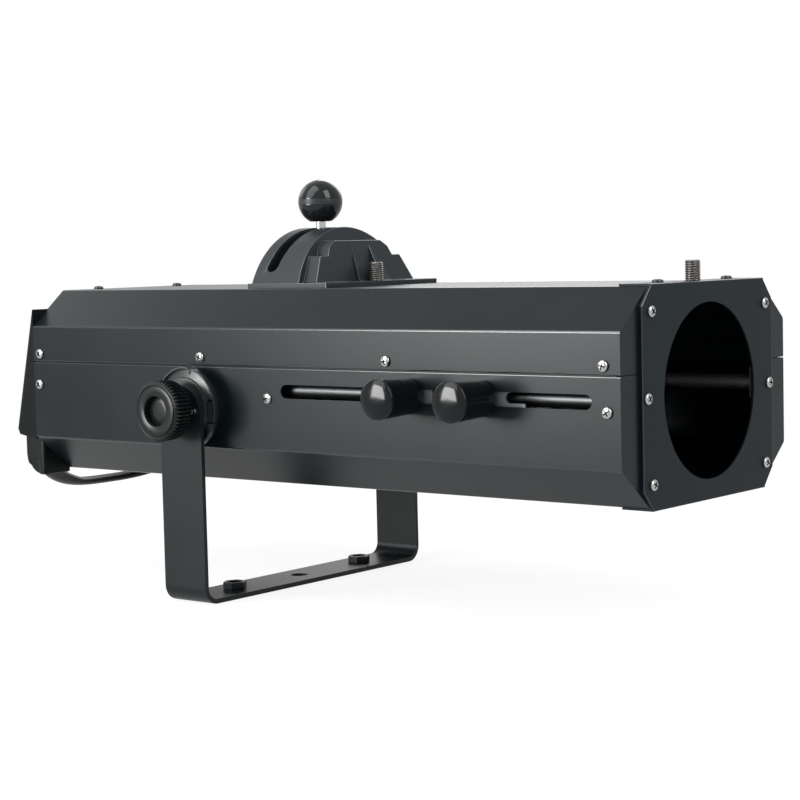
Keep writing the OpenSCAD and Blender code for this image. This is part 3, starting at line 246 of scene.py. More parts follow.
def skin(name, low, high, rough, scale, detail=3.0, stretch=None, grain=None, specular=0.5,
         metallic=0.0, clear=0.0):
    """A material whose colour and roughness vary with one noise. Scales are in waves per metre, and
    stretch gives one for each axis. grain is the bump's noise: its scale, detail, strength and depth."""
    made, tree, surface, place = start(name)
    spread = add(tree, "Mapping", {"Vector": place, "Scale": stretch}).outputs[0] if stretch else place
    noise = add(tree, "TexNoise", {"Vector": spread, "Scale": scale, "Detail": detail})
    tone = add(tree, "ValToRGB", {"Fac": noise.outputs["Fac"]})
    tone.color_ramp.elements[0].color = colour(low)
    tone.color_ramp.elements[1].color = colour(high)
    sheen = add(tree, "MapRange", {"Value": noise.outputs["Fac"], "To Min": rough[0], "To Max": rough[1]})
    tree.links.new(tone.outputs[0], surface.inputs["Base Color"])
    tree.links.new(sheen.outputs[0], surface.inputs["Roughness"])
    surface.inputs["Specular IOR Level"].default_value = specular
    surface.inputs["Metallic"].default_value = metallic
    surface.inputs["Transmission Weight"].default_value = clear
    if grain:
        waves, octaves, strength, depth = grain
        bumps = add(tree, "TexNoise", {"Vector": place, "Scale": waves, "Detail": octaves})
        bump = add(tree, "Bump", {"Height": bumps.outputs["Fac"], "Strength": strength, "Distance": depth})
        tree.links.new(bump.outputs[0], surface.inputs["Normal"])
    return made


def powder(name, low, high, rough, clouds, specular, peel=0.10):
    """Polyester powder coat on steel: a satin skin with faint clouds of sheen, and an orange peel
    of about 1.6 mm, drawn a little coarser than real."""
    return skin(name, low, high, rough, clouds, grain=(620.0, 2.0, peel, 0.0002), specular=specular)


# The covers' coat has a fine satin skin, and its clouds are some 60 mm across.
powder_coat = powder("black_powder_coat", "#080e10", "#0c1316", (0.28, 0.34), 16.0, 0.14)
# The flat side's distance from the middle plane, in millimetres, and a turn in radians that lies
# between a bend's 45 degrees and a cut edge's 90.
cover_side, bend_turn = 119.5, 1.1


def lengthwise(e):
    """Whether an edge is longer than 0.3 m and runs along the body."""
    a, b = (v.co for v in e.verts)
    return abs(a.x - b.x) > 0.3 and abs(a.y - b.y) < 1e-4 and abs(a.z - b.z) < 1e-4


def bend_line(e):
    """Whether an edge is a bend of the covers."""
    return lengthwise(e) and e.calc_face_angle(0) < bend_turn


def seam_edge(e):
    """Whether an edge is a cut one in the covers' flat side, so at the seam."""
    return (lengthwise(e) and e.calc_face_angle(0) > bend_turn
            and abs(e.verts[0].co.y) > (cover_side - 0.2) / 1000)


def burnished(coat, name, specular):
    """The same coat where it is thin and rubbed smooth, along edges and bends."""
    made = coat.copy()
    made.name = name
    for shader in made.node_tree.nodes:
        if shader.type == "BSDF_PRINCIPLED":
            made.node_tree.links.remove(shader.inputs["Roughness"].links[0])
            shader.inputs["Roughness"].default_value = 0.2
            shader.inputs["Specular IOR Level"].default_value = specular
    return made


def coat_edges(piece, coat, edge_coat, width, large=0.0004, parallel=0.9999):
    """Gives a piece its coat, and the edge coat on every strip that is narrower than the width.
    A narrow face that lies in a large flat one's plane is only a part of it, and keeps the coat."""
    piece.data.materials.append(coat)
    piece.data.materials.append(edge_coat)
    flats = [face.normal.copy() for face in piece.data.polygons if face.area > large]
    for face in piece.data.polygons:
        corners = [piece.data.vertices[i].co for i in face.vertices]
        longest = max((corners[i] - corners[i - 1]).length for i in range(len(corners)))
        in_flat = any(face.normal.dot(flat) > parallel for flat in flats)
        face.material_index = int(face.area < width * longest and not in_flat)


powder_edge = burnished(powder_coat, "black_powder_coat_edge", 0.6)
# In metres: how far a cut edge is broken, how far a bend's rounding reaches on each side, and how
# wide a strip may be to take the edge coat.
sheet_break, bend_reach, sheet_strip = 0.0003, 0.0010, 0.0007
for node in ("top_cover", "bottom_cover"):
    cover = softened(node, sheet_break, [(bend_line, bend_reach), (seam_edge, bend_reach)])
    coat_edges(cover, powder_coat, powder_edge, sheet_strip)

# Front plate.
# A folded pan of the same sheet with the round aperture, two flanges that lap the flat top and bottom, and
# the same coat. Its colour is painted a shade lighter and bluer than the covers': painted light, because the
# plate faces away from the side light.
# The plate's tone is painted lighter and bluer than the covers': painted light.
plate_coat = powder("front_powder_coat", "#0a1115", "#0e171b", (0.42, 0.50), 14.0, 0.09)
front_face = 615


def front_rim(e):
    """Whether an edge is one of the pan's outer bends, all over 12 mm long, and not a hole's."""
    a, b = (v.co for v in e.verts)
    return min(a.x, b.x) > at(front_face - 0.5, 0, 0).x and (a - b).length > 0.012


plate = softened("front_plate", sheet_break, [(front_rim, 0.0011)])
coat_edges(plate, plate_coat, powder_edge, sheet_strip)

# Rear frame and rear panel.
# A welded wedge inside the covers' rear end, and on it a flat punched panel that leans forward
# at its top. The frame's coat is as dull as the front plate's but greyer. The panel has the covers'.
frame_coat = powder("rear_frame_powder_coat", "#0b0d0e", "#0f1214", (0.42, 0.50), 14.0, 0.05)
softened("rear_frame", 0.0005).data.materials.append(frame_coat)
softened("rear_panel", 0.0004).data.materials.append(powder_coat)

# Yoke.
# Flat mild-steel bar, 46 by 4 mm, bent cold into a U and powder coated. Its mill edges stay
# slightly rounded, so they catch a thin line of light. Two hexagon nuts are welded on the bar.
yoke_coat = powder("yoke_powder_coat", "#090e10", "#0e1416", (0.34, 0.40), 22.0, 0.15, peel=0.12)
coat_edges(softened("yoke_strap", 0.0011), yoke_coat, powder_edge, 0.0010)
softened("yoke_nuts", 0.0007).data.materials.append(yoke_coat)

# Friction rings.
# Thin nylon washers between the body's bosses and the yoke's discs. They are turned from rod,
# which leaves a dull skin.
nylon = skin("turned_black_nylon", "#101315", "#16191b", (0.26, 0.32), 900.0, detail=2.0, specular=0.36)
softened("friction_rings", 0.0003).data.materials.append(nylon)

# Screws.
# Cross-recess pan-head machine screws. The head is upset from wire and plated with bright
# nickel, and each one stopped at its own angle.


def shell(name, rings):
    """A closed skin over rings of points, with a flat face over the first ring and the last."""
    count = len(rings[0])
    points = [p for ring in rings for p in ring]
    faces = []
    for i in range(0, len(points) - count, count):
        for j in range(count):
            k = (j + 1) % count
            faces.append((i + j, i + k, i + count + k, i + count + j))
    faces.append(tuple(reversed(range(count))))
    faces.append(tuple(range(len(points) - count, len(points))))
    mesh = bpy.data.meshes.new(name)
    mesh.from_pydata(points, [], faces)
    bm = bmesh.new()
    bm.from_mesh(mesh)
    bmesh.ops.recalc_face_normals(bm, faces=bm.faces)
    bm.to_mesh(mesh)
    bm.free()
    return mesh


def turned(name, profile, segments, ripple=None):
    """A lathe form about +Z from (radius, height) pairs in millimetres. ripple changes the radius."""
    rings = []
    for r, h in profile:
        ring = []
        for j in range(segments):
            a = 2 * math.pi * j / segments
            q = ripple(r, h, a) if ripple else r
            ring.append(Vector((q * math.cos(a), q * math.sin(a), h)) / 1000)
        rings.append(ring)
    return shell(name, rings)


def slab(x, y, h, foot=1):
    """A block between two limits on each axis, in millimetres. Its lower end is scaled by foot."""
    corners = ((x[0], y[0]), (x[1], y[0]), (x[1], y[1]), (x[0], y[1]))
    return shell("slab", [[Vector((a * k, b * k, level)) / 1000 for a, b in corners]
                          for level, k in zip(h, (foot, 1))])


def smooth(mesh, angle):
    """Shades a mesh smooth but for edges that turn by more than the angle, in degrees."""
    mesh.shade_smooth()
    mesh.set_sharp_from_angle(angle=math.radians(angle))
    return mesh


def cut(mesh, tool):
    """Cuts one mesh out of another."""
    body = link_object("body", mesh)
    knife = link_object("knife", tool)
    mod = body.modifiers.new("cut", "BOOLEAN")
    mod.object = knife
    mod.operation = "DIFFERENCE"
    mod.solver = "EXACT"
    made = evaluated(body)
    bpy.data.objects.remove(body)
    bpy.data.objects.remove(knife)
    return made


def joined(name, meshes):
    """One mesh made of several."""
    bm = bmesh.new()
    for mesh in meshes:
        bm.from_mesh(mesh)
    made = bpy.data.meshes.new(name)
    bm.to_mesh(made)
    bm.free()
    return made


def facing(point, out):
    """Takes what was made about +Z to a point, so that it points outward from there."""
    return Matrix.Translation(point) @ Vector(out).to_track_quat("Z", "Y").to_matrix().to_4x4()


# Bright nickel plate: a hard mirror with slightly darker and duller specks from handling, drawn
# coarser than real, at 0.7 mm.
nickel = skin("bright_nickel_plate", "#8f9090", "#b9b9b6", (0.12, 0.28), 1400.0, metallic=1.0)
# Black oxide on the same screws: the steel's sheen shows through a thin dark skin.
black_oxide = skin("black_oxide_steel", "#2a2a2b", "#47484a", (0.30, 0.42), 1400.0, metallic=1.0)
# The driver's recess is painted near black: painted shade in the cross.
recess_painted_shade = skin("screw_recess_painted_shade", "#050505", "#101010", (0.7, 0.7), 1400.0, specular=0.2)

head_profile = [(4.0, 0), (4.25, 0.15), (4.3, 0.5), (4.28, 1.1), (4.1, 1.6), (3.7, 2.05), (3.0, 2.38),
                (2.0, 2.56), (1.0, 2.6), (0.01, 2.6)]
wing_reach, wing_half = 2.9, 0.72
head = turned("pan_head", head_profile, 40)
for turn in (0, 90):
    wing = slab((-wing_reach, wing_reach), (-wing_half, wing_half), (0.5, 2.9), foot=0.6)
    wing.transform(Matrix.Rotation(math.radians(turn), 4, "Z"))
    head = cut(head, wing)
smooth(head, 30)
# Faces inside the cross take the recess's painted shade.
for face in head.polygons:
    in_recess = face.center.xy.length < wing_reach / 1000 and 0.0003 < face.center.z < 0.00235
    face.material_index = int(in_recess)
shank = turned("shank", [(2.0, -5), (2.0, 0.1)], 20)


def set_screws(name, node, places, coat, seed):
    """Sets screw heads on their seats, each turned by chance, as one piece."""
    chance = random.Random(seed)
    parts = []
    for seat, out in places:
        spin = Matrix.Rotation(chance.uniform(0, math.pi), 4, "Z")
        for part in (head, shank):
            parts.append(part.copy())
            parts[-1].transform(facing(seat, out) @ spin)
    mesh = joined(name, parts)
    mesh.materials.append(coat)
    mesh.materials.append(recess_painted_shade)
    piece = link_object(name, smooth(mesh, 30))
    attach(piece, "head")
    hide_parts(node)


# Four screws above the seam, evenly spread, and three below it, on both sides. Six in the front.
first_x, screw_span, upper_z = 9, 589, 25
side_seats = [(first_x + i * screw_span / 3, upper_z) for i in range(4)]
side_seats += [(7.5, -2), (279, -7), (601, -8)]
bright = [(at(x, s * cover_side, z), (0, s, 0)) for x, z in side_seats for s in (-1, 1)]
bright += [(at(front_face, s * 89, 0), (1, 0, 0)) for s in (-1, 1)]
bright += [(at(front_face, s * 83, t * 62), (1, 0, 0)) for s in (-1, 1) for t in (-1, 1)]
set_screws("bright_pan_screws", "cover_screws", bright, nickel, 4)
# Two at the rear of the flat top, and two in each of the front plate's flanges.
cover_top, flange_top = 80, 81.5
dark = [(at(12, s * 50, cover_top), (0, 0, 1)) for s in (-1, 1)]
dark += [(at(601, s * 50, t * flange_top), (0, 0, t)) for s in (-1, 1) for t in (-1, 1)]
set_screws("black_pan_screws", "top_screws", dark, black_oxide, 9)

# Pivot discs.
# Turned nylon discs screwed inside the yoke's arms. A smooth, slightly domed face lies behind a
# thin rim, with a notch at the top and a stop block between two grooves ahead of the arm.
tilt_x, tilt_z, disc_y = 201, -16, 130.5
track, block_y = (25.6, 32.2), (-10.2, 6.0)
rim = [(33.6, 0), (34, 0.4), (34, 4.5), (33.7, 4.9), (32.6, 4.9), (32.3, 4.6), (32.2, 2.9), (31.8, 2.6),
       (28.6, 3.4), (25.6, 3.9), (25.3, 4.2), (25.2, 6.1), (24.9, 6.4), (24.2, 6.5), (6.4, 6.5), (6.4, 0)]
for side, name in ((-1, "right_pivot_disc"), (1, "left_pivot_disc")):
    disc = turned(name, rim + rim[:1], 128)
    bm = bmesh.new()
    bm.from_mesh(disc)
    end_faces = [f for f in bm.faces if len(f.verts) > 4]
    bmesh.ops.delete(bm, geom=end_faces, context="FACES_ONLY")
    bmesh.ops.remove_doubles(bm, verts=bm.verts, dist=1e-6)
    bm.to_mesh(disc)
    bm.free()
    notch = slab((28.5, 36), (-0.8, 0.8), (2.0, 7.0))
    notch.transform(Matrix.Rotation(math.radians(90 + 11 * side), 4, "Z"))
    grooves = [slab(track, limits, (1.6, 6.0)) for limits in ((block_y[1], 7.8), (-12.0, block_y[0]))]
    for tool in [notch] + grooves:
        disc = cut(disc, tool)
    disc = joined(name, [disc, slab((25.4, 32.3), block_y, (2.4, 4.6))])
    if side > 0:
        disc.transform(Matrix.Rotation(math.pi, 4, "Z"))
    disc.transform(facing(at(tilt_x, side * disc_y, tilt_z), (0, side, 0)))
    disc.materials.append(nylon)
    piece = link_object(name, smooth(disc, 34))
    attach(piece, "yoke")
    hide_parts("pivot_discs")

# Dome.
# The lever's cover, moulded in black ABS with a finely spark-eroded skin: a slotted band, a
# sloping nose with two webs and a flat base. The clouds are some 33 mm across.
abs_skin = skin("black_moulded_abs", "#11171b", "#171e22", (0.40, 0.50), 30.0, detail=2.0,
                grain=(1500.0, 2.0, 0.10, 0.0001), specular=0.25)
abs_edge = burnished(abs_skin, "black_moulded_abs_edge", 1.0)
coat_edges(softened("dome_cover", 0.0008), abs_skin, abs_edge, 0.0009)

# The slot's ends are milled round, so a small fillet fills each of its four corners. The band is an
# arch round a line above the beam's axis. In millimetres, that is the line's height, the band's inner
# and outer radius, and the slot ends' mean distance from the axis.
arch_z, band_radii, band_height = 52.47, (74.3, 77.18), 114
lever_x, slot_half, slot_end, fillet_radius = 237, 6.05, math.radians(35.05), 5.9


def on_arch(x, turn, radius):
    """A point on the slotted band, at an angle about the beam's axis from straight up."""
    side, rise = math.sin(turn), math.cos(turn)
    reach = arch_z * rise + math.sqrt(radius ** 2 - (arch_z * side) ** 2)
    return at(x, reach * side, reach * rise)


turns = [math.radians(a) for a in range(0, 91, 10)]
corner = [(0, 0)] + [(fillet_radius - fillet_radius * math.sin(a),
                      fillet_radius - fillet_radius * math.cos(a)) for a in turns]
fillets = []
for end in (-1, 1):
    for side in (-1, 1):
        fillets.append(shell("fillet", [
            [on_arch(lever_x + side * (slot_half - x), end * (slot_end - y / band_height), radius)
             for x, y in corner] for radius in band_radii]))
mesh = joined("slot_fillets", fillets)
mesh.materials.append(abs_skin)
piece = link_object("slot_fillets", smooth(mesh, 30))
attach(piece, "head")
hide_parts("dome_cover")

# Iris lever and ball.
# A polished steel rod that comes out of the iris ring, with a phenolic ball screwed on it. The
# ball is polished all over but for the ground-off mould line, a matt band about 4 mm wide.
chrome = skin("polished_steel", "#98999b", "#c8c8c9", (0.06, 0.16), 700.0, metallic=1.0)
softened("iris_lever", 0.0003).data.materials.append(chrome)

# The band lies 0.12 mm deeper than the polish, between these heights from the ball's middle.
ball_z, ball_radius = 151.5, 19
groove_low, groove_high, groove_depth = -2.1, 2.3, 0.12
phenolic, tree, surface, place = start("polished_phenolic_ball")
height = add(tree, "SeparateXYZ", {"Vector": place}).outputs["Z"]
low, high = (at(0, 0, ball_z + level).z for level in (groove_low, groove_high))
above = add(tree, "Math", {0: height, 1: low}, operation="GREATER_THAN")
below = add(tree, "Math", {0: height, 1: high}, operation="LESS_THAN")
band = add(tree, "Math", {0: above.outputs[0], 1: below.outputs[0]}, operation="MULTIPLY")
scuff = add(tree, "TexNoise", {"Vector": place, "Scale": 260.0, "Detail": 4.0})
gloss = add(tree, "MapRange", {"Value": scuff.outputs["Fac"], "To Min": 0.07, "To Max": 0.13})
rough = add(tree, "MapRange", {"Value": band.outputs[0], "To Min": gloss.outputs[0], "To Max": 0.42})
tone = add(tree, "ValToRGB", {"Fac": band.outputs[0]})
tone.color_ramp.elements[0].color = colour("#121517")
tone.color_ramp.elements[1].color = colour("#1e2123")
tree.links.new(tone.outputs[0], surface.inputs["Base Color"])
tree.links.new(rough.outputs[0], surface.inputs["Roughness"])
surface.inputs["Specular IOR Level"].default_value = 0.22
ball_profile = [(0.01, -16.7), (5.5, -16.7), (8.6, -16.65)]
for i in range(1, 60):
    a = math.radians(-61 + 151 * i / 60)
    r, h = ball_radius * math.cos(a), ball_radius * math.sin(a)
    ball_profile.append((r - (groove_depth if groove_low < h < groove_high else 0), h))
ball_profile.append((0.01, ball_radius))
ball = turned("ball_grip", ball_profile, 96)
ball.transform(Matrix.Translation(at(lever_x, 0, ball_z)))
ball.materials.append(phenolic)
ball = link_object("ball_grip", smooth(ball, 40))
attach(ball, "iris_lever")
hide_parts("ball_knob")

# Accessory studs.
# M12 studs with a rolled thread of 1.75 mm pitch, zinc plated and dulled to a warm grey. A root
# without thread goes down through the sheet.
zinc = skin("dull_zinc_plate", "#4a4846", "#8a8784", (0.32, 0.48), 900.0, detail=4.0, metallic=1.0)


def threaded_rod(radius, pitch, length, depth, chamfer=1.1, sides=48):
    """A rod with a helical thread and chamfered end, standing on z = 0. Sizes in millimetres."""
    rings = []
    steps = int(length / pitch * 10)
    for i in range(steps + 1):
        z = length * i / steps
        ring = []
        for j in range(sides):
            a = 2 * math.pi * j / sides
            phase = (z / pitch - j / sides) % 1
            r = radius - depth * abs(2 * phase - 1) ** 1.2
            r = min(r, radius - chamfer + (length - z))
            ring.append(Vector((r * math.cos(a), r * math.sin(a), z)) / 1000)
        rings.append(ring)
    return shell("stud", rings)


studs = []
sheet_inside = cover_top - 1.5
for x, foot in ((296.8, 84), (601, flange_top)):
    studs.append(threaded_rod(6, 1.75, 15.5, 0.95))
    studs[-1].transform(Matrix.Translation(at(x, 0, foot)))
    studs.append(turned("root", [(5.4, 0), (5.4, foot - sheet_inside + 0.2)], 32))
    studs[-1].transform(Matrix.Translation(at(x, 0, sheet_inside)))
mesh = joined("threaded_studs", studs)
mesh.materials.append(zinc)
piece = link_object("threaded_studs", smooth(mesh, 25))
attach(piece, "head")
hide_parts("accessory_studs")

# Tilt knobs.
# Clamp knobs moulded in glass-filled nylon round a nut: a fluted skirt, a double rim and a cap
# pressed into a round recess. The skin is satin with a slight grain.
filled_nylon = skin("moulded_filled_nylon", "#090b0c", "#0f1213", (0.22, 0.30), 1300.0,
                    grain=(1300.0, 3.0, 0.10, 0.0001), specular=0.17)
knob_y, flute_foot, flute_top, flute_count = 141.3, 22.6, 26.4, 48


def flutes(r, h, a):
    """Rounded ribs along the skirt. Their front ends stand out as a row of small knuckles."""
    if r < flute_foot or h > flute_top:
        return r
    rib = (0.5 + 0.5 * math.cos(flute_count * a)) ** 0.6
    return flute_foot + (r - flute_foot) * rib


skirt = [(12.4, 0), (12.4, 8.4), (13.0, 9.0), (22.5, 9.1), (23.6, 9.6), (24.2, 10.6), (24.4, 12), (24.6, 16),
         (24.8, 20), (25, 23.4), (24.95, 24.4), (24.6, 25.2), (23.9, 25.8), (22.9, 26.2), (22.5, 26.5),
         (22.4, 26.9), (22.1, 27.3), (21.6, 27.45), (21.2, 27.3), (21.05, 26.8), (20.7, 26.8), (20.6, 27.4),
         (20.3, 27.85), (19.8, 28), (12.8, 28), (12.4, 27.8), (12.2, 27.3), (12.0, 22.4), (11.7, 22.0),
         (11.3, 22.1), (10.9, 22.9), (10.2, 23.3), (6, 23.55), (0.01, 23.6)]
for side, name in ((-1, "tilt_knob_right"), (1, "tilt_knob_left")):
    mesh = turned(name, skirt, 480, flutes)
    mesh.transform(facing(at(tilt_x, side * knob_y, tilt_z), (0, side, 0)))
    mesh.materials.append(filled_nylon)
    piece = link_object(name + "_grip", smooth(mesh, 34))
    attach(piece, name)
    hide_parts(name)

# Slide knobs.
# Polished phenolic grips, turned slightly conical, with a domed end that mirrors the soft boxes
# sharply. Their stems pass through the long slot into the lens carriages.
gloss_phenolic = skin("polished_phenolic", "#07090a", "#0c0e10", (0.07, 0.15), 240.0, detail=4.0,
                      specular=0.18)
grip_radius, crown_foot, crown = 15.4, 39.0, 3.0
grip = [(4, -10.6), (4, 0), (11.5, 0), (12.6, 0.1), (13.2, 0.5), (13.5, 1.2), (13.7, 4), (15.3, 37.0),
        (15.42, 37.9), (15.2, 38.2), (15.2, 38.45), (15.45, 38.6), (grip_radius, crown_foot)]
for i in range(1, 16):
    a = math.radians(90 * i / 16)
    fullness = 1 if i < 3 else 0.82
    grip.append((grip_radius * math.cos(a) ** fullness, crown_foot + crown * math.sin(a)))
grip.append((0.01, crown_foot + crown))
for node, x in (("zoom_knob", 424.5), ("focus_knob", 492)):
    mesh = turned(node, grip, 72)
    mesh.transform(facing(at(x, -cover_side - 1.2, -1), (0, -1, 0)))
    mesh.materials.append(gloss_phenolic)
    piece = link_object(node + "_grip", smooth(mesh, 34))
    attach(piece, node)
    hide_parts(node)

# Guide rods.
# Ground steel rods in milled end blocks. The one behind the slot is painted dark: painted shade. The other,
# seen through the aperture, is painted pale: painted light that lifts it out of the dark inside.
ground_lines = (120, 3000, 3000)
# Painted shade: the near rod's dark tone.
ground = skin("ground_steel", "#303233", "#5e6162", (0.34, 0.50), 1.0, stretch=ground_lines, metallic=1.0)
# Painted light: the far rod's pale tone.
far_rod_painted_light = skin("rod_steel_painted_light", "#c4c6c8", "#e2e3e4", (0.40, 0.52), 1.0, stretch=ground_lines,
                    metallic=1.0)
rods = softened("guide_rods", 0.0005).data
rods.materials.append(ground)
rods.materials.append(far_rod_painted_light)
# Faces of the far rod, on the +Y side, take the painted light.
for face in rods.polygons:
    face.material_index = int(face.center.y > 0)

# Lens carriages.
# Cast aluminium rings between two bushes, black anodised so that they throw no stray light. The
# shoe that closes the slot behind each knob is left bare where it rubs along the cover.
shoe_y = at(0, -114.5, 0).y
anodised, tree, surface, place = start("black_anodised_aluminium")
depth = add(tree, "SeparateXYZ", {"Vector": place})
bare = add(tree, "Math", {0: depth.outputs["Y"], 1: shoe_y}, operation="LESS_THAN")
lines = add(tree, "TexNoise", {"Vector": place, "Scale": 1100.0, "Detail": 3.0})
dark = add(tree, "ValToRGB", {"Fac": lines.outputs["Fac"]})
dark.color_ramp.elements[0].color = colour("#0b0c0d")
dark.color_ramp.elements[1].color = colour("#131415")
light = add(tree, "ValToRGB", {"Fac": lines.outputs["Fac"]})
light.color_ramp.elements[0].color = colour("#66696c")
light.color_ramp.elements[1].color = colour("#828588")
tone = add(tree, "MixRGB", {0: bare.outputs[0], 1: dark.outputs[0], 2: light.outputs[0]})
rough = add(tree, "MapRange", {"Value": lines.outputs["Fac"], "To Min": 0.38, "To Max": 0.5})
metal = add(tree, "Math", {0: bare.outputs[0], 1: 0.8}, operation="MULTIPLY")
tree.links.new(tone.outputs[0], surface.inputs["Base Color"])
tree.links.new(rough.outputs[0], surface.inputs["Roughness"])
tree.links.new(metal.outputs[0], surface.inputs["Metallic"])
for node in ("zoom_carriage", "focus_carriage", "condenser_tube"):
    softened(node, 0.0004).data.materials.append(anodised)

# Lenses.
# Polished crown glass with a magnesium fluoride coat, which turns what it mirrors faintly violet.
# The edges are ground and only broken by a fine chamfer.
glass, tree, surface, place = start("coated_crown_glass")
dust = add(tree, "TexNoise", {"Vector": place, "Scale": 500.0, "Detail": 4.0})
rough = add(tree, "MapRange", {"Value": dust.outputs["Fac"], "To Min": 0.0, "To Max": 0.03})
tree.links.new(rough.outputs[0], surface.inputs["Roughness"])
surface.inputs["Base Color"].default_value = colour("#f4f7f6")
surface.inputs["Transmission Weight"].default_value = 1.0
surface.inputs["IOR"].default_value = 1.52
surface.inputs["Specular Tint"].default_value = colour("#b9a8e6")
for node in ("zoom_lens", "focus_lens", "condenser_lens"):
    softened(node, 0.0005).data.materials.append(glass)

# Sheet metal inside.
# Zinc-plated steel: the light engine's tray, the iris plate and the colour wheel. Passivation
# leaves faint blue and straw clouds some 40 mm across, and the rolling lines run along X.
zinc_sheet, tree, surface, place = start("zinc_plated_sheet")
clouds = add(tree, "TexNoise", {"Vector": place, "Scale": 24.0, "Detail": 3.0})
tone = add(tree, "ValToRGB", {"Fac": clouds.outputs["Fac"]})
tone.color_ramp.elements[0].color = colour("#8f969e")
tone.color_ramp.elements[1].color = colour("#b3b2a8")
stretch = add(tree, "Mapping", {"Vector": place, "Scale": (60, 1800, 1800)})
lines = add(tree, "TexNoise", {"Vector": stretch.outputs[0], "Scale": 1.0, "Detail": 3.0})
rough = add(tree, "MapRange", {"Value": lines.outputs["Fac"], "To Min": 0.28, "To Max": 0.44})
bump = add(tree, "Bump", {"Height": lines.outputs["Fac"], "Strength": 0.08, "Distance": 0.0001})
tree.links.new(tone.outputs[0], surface.inputs["Base Color"])
tree.links.new(rough.outputs[0], surface.inputs["Roughness"])
tree.links.new(bump.outputs[0], surface.inputs["Normal"])
surface.inputs["Metallic"].default_value = 1.0
for node in ("chassis_tray", "iris_plate", "iris_ring", "colour_wheel", "tilt_studs"):
    softened(node, 0.0003).data.materials.append(zinc_sheet)

# Aluminium inside.
# Extruded and milled aluminium: the finned heat sink, the rod blocks, the pivot bosses and the
# supply's case. Extrusion draws fine lines, and the surface is dull with oxide.
bare_aluminium = skin("extruded_aluminium", "#9da0a3", "#bfc1c3", (0.34, 0.5), 1.0, detail=4.0,
                      stretch=(90, 2200, 240), metallic=1.0)
for node in ("rod_brackets", "heatsink", "pivot_bosses", "power_supply"):
    softened(node, 0.0003).data.materials.append(bare_aluminium)

# Iris leaves.
# Six crescents of thin spring steel, blackened in hot salts and barely burnished where they rub
# on one another.
blued = skin("blackened_spring_steel", "#1b1c1f", "#34353a", (0.3, 0.48), 180.0, detail=4.0, metallic=1.0)
for i in range(1, 7):
    softened(f"iris_leaf_{i}", 0.00008).data.materials.append(blued)

# Lamp module and colour filters.
# A white ceramic board with a round yellow phosphor field, and five coated glass filters that
# are glued over the wheel's windows: red, amber, green, blue and magenta. One window stays open.
board_face, wheel_middle = at(153.2, 0, 0).x, at(214, 46, 0)
led = softened("led_module", 0.0002).data
led.materials.append(skin("white_ceramic", "#dcdad2", "#e8e6de", (0.4, 0.55), 400.0))
led.materials.append(skin("yellow_phosphor", "#d9a81e", "#e2b52c", (0.5, 0.65), 900.0,
                          grain=(900.0, 3.0, 0.15, 0.0001)))
for face in led.polygons:
    face.material_index = int(face.center.x > board_face)
filters = softened("colour_filters", 0.0002).data
for name, tint in (("red", "#c8202c"), ("amber", "#e08a1e"), ("green", "#2c9a48"), ("blue", "#2a4fc0"),
                   ("magenta", "#b8329a")):
    filters.materials.append(skin(name + "_dichroic_glass", tint, tint, (0.02, 0.06), 500.0, clear=0.85))
for face in filters.polygons:
    spot = face.center - wheel_middle
    turn = math.degrees(math.atan2(-spot.z, -spot.y)) % 360
    face.material_index = min(max(round(turn / 60) - 1, 0), 4)

# Fan, motor and electronics.
# Bought parts: a moulded axial fan with a seven-blade rotor, a black stepper for the wheel, and a
# green board with its parts. They sit behind the grille and are seen only through it.
moulded = skin("black_moulded_plastic", "#141516", "#1d1e20", (0.42, 0.55), 900.0,
               grain=(900.0, 3.0, 0.15, 0.0001))
for node in ("fan_frame", "fan_rotor"):
    softened(node, 0.0003).data.materials.append(moulded)
motor_paint = skin("black_motor_paint", "#131415", "#1c1d1f", (0.3, 0.42), 500.0)
softened("colour_motor", 0.0004).data.materials.append(motor_paint)

# The rear panel's own frame stands at the foot of its outer face, with Z up along it and X into
# the body. The board's bare plate lies between these two depths behind it, in millimetres.
board_rear, board_front = 11.9, 13.7
panel_setback, panel_rise, panel_foot = 24.6, 107.5, -43.5
lean = math.atan2(panel_setback, panel_rise)
panel_length = panel_rise / math.cos(lean)
panel = Matrix.Translation(at(-panel_setback, 0, panel_foot)) @ Matrix.Rotation(lean, 4, "Y")
inward = panel.inverted()
board = softened("control_board", 0.0002).data
board.materials.append(skin("green_solder_mask", "#0e4a26", "#186434", (0.25, 0.4), 350.0))
board.materials.append(skin("black_component", "#151617", "#202123", (0.4, 0.55), 700.0))
for face in board.polygons:
    depth = (inward @ face.center).x * 1000
    face.material_index = int(depth < board_rear or depth > board_front)

# Rear controls.
# A tinted display window, four push buttons, a ribbed dimmer knob with a white pointer, and a
# mains rocker. All are moulded, and the knob's pointer is filled with paint.
ink = skin("white_filled_paint", "#c9cac8", "#d6d7d4", (0.5, 0.6), 600.0)
tinted = skin("tinted_display_window", "#0b0f12", "#10151a", (0.08, 0.14), 300.0)
softened("display_window", 0.0003).data.materials.append(tinted)


def on_panel(name, mesh, body, y, v, coat):
    """Places a piece that was made about +Z on the rear panel, pointing out of it."""
    spot = Matrix.Translation(Vector((0, y, v)) / 1000)
    mesh.transform(panel @ spot @ Matrix.Rotation(-math.pi / 2, 4, "Y"))
    mesh.materials.append(coat)
    piece = link_object(name, mesh)
    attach(piece, body)
    return piece


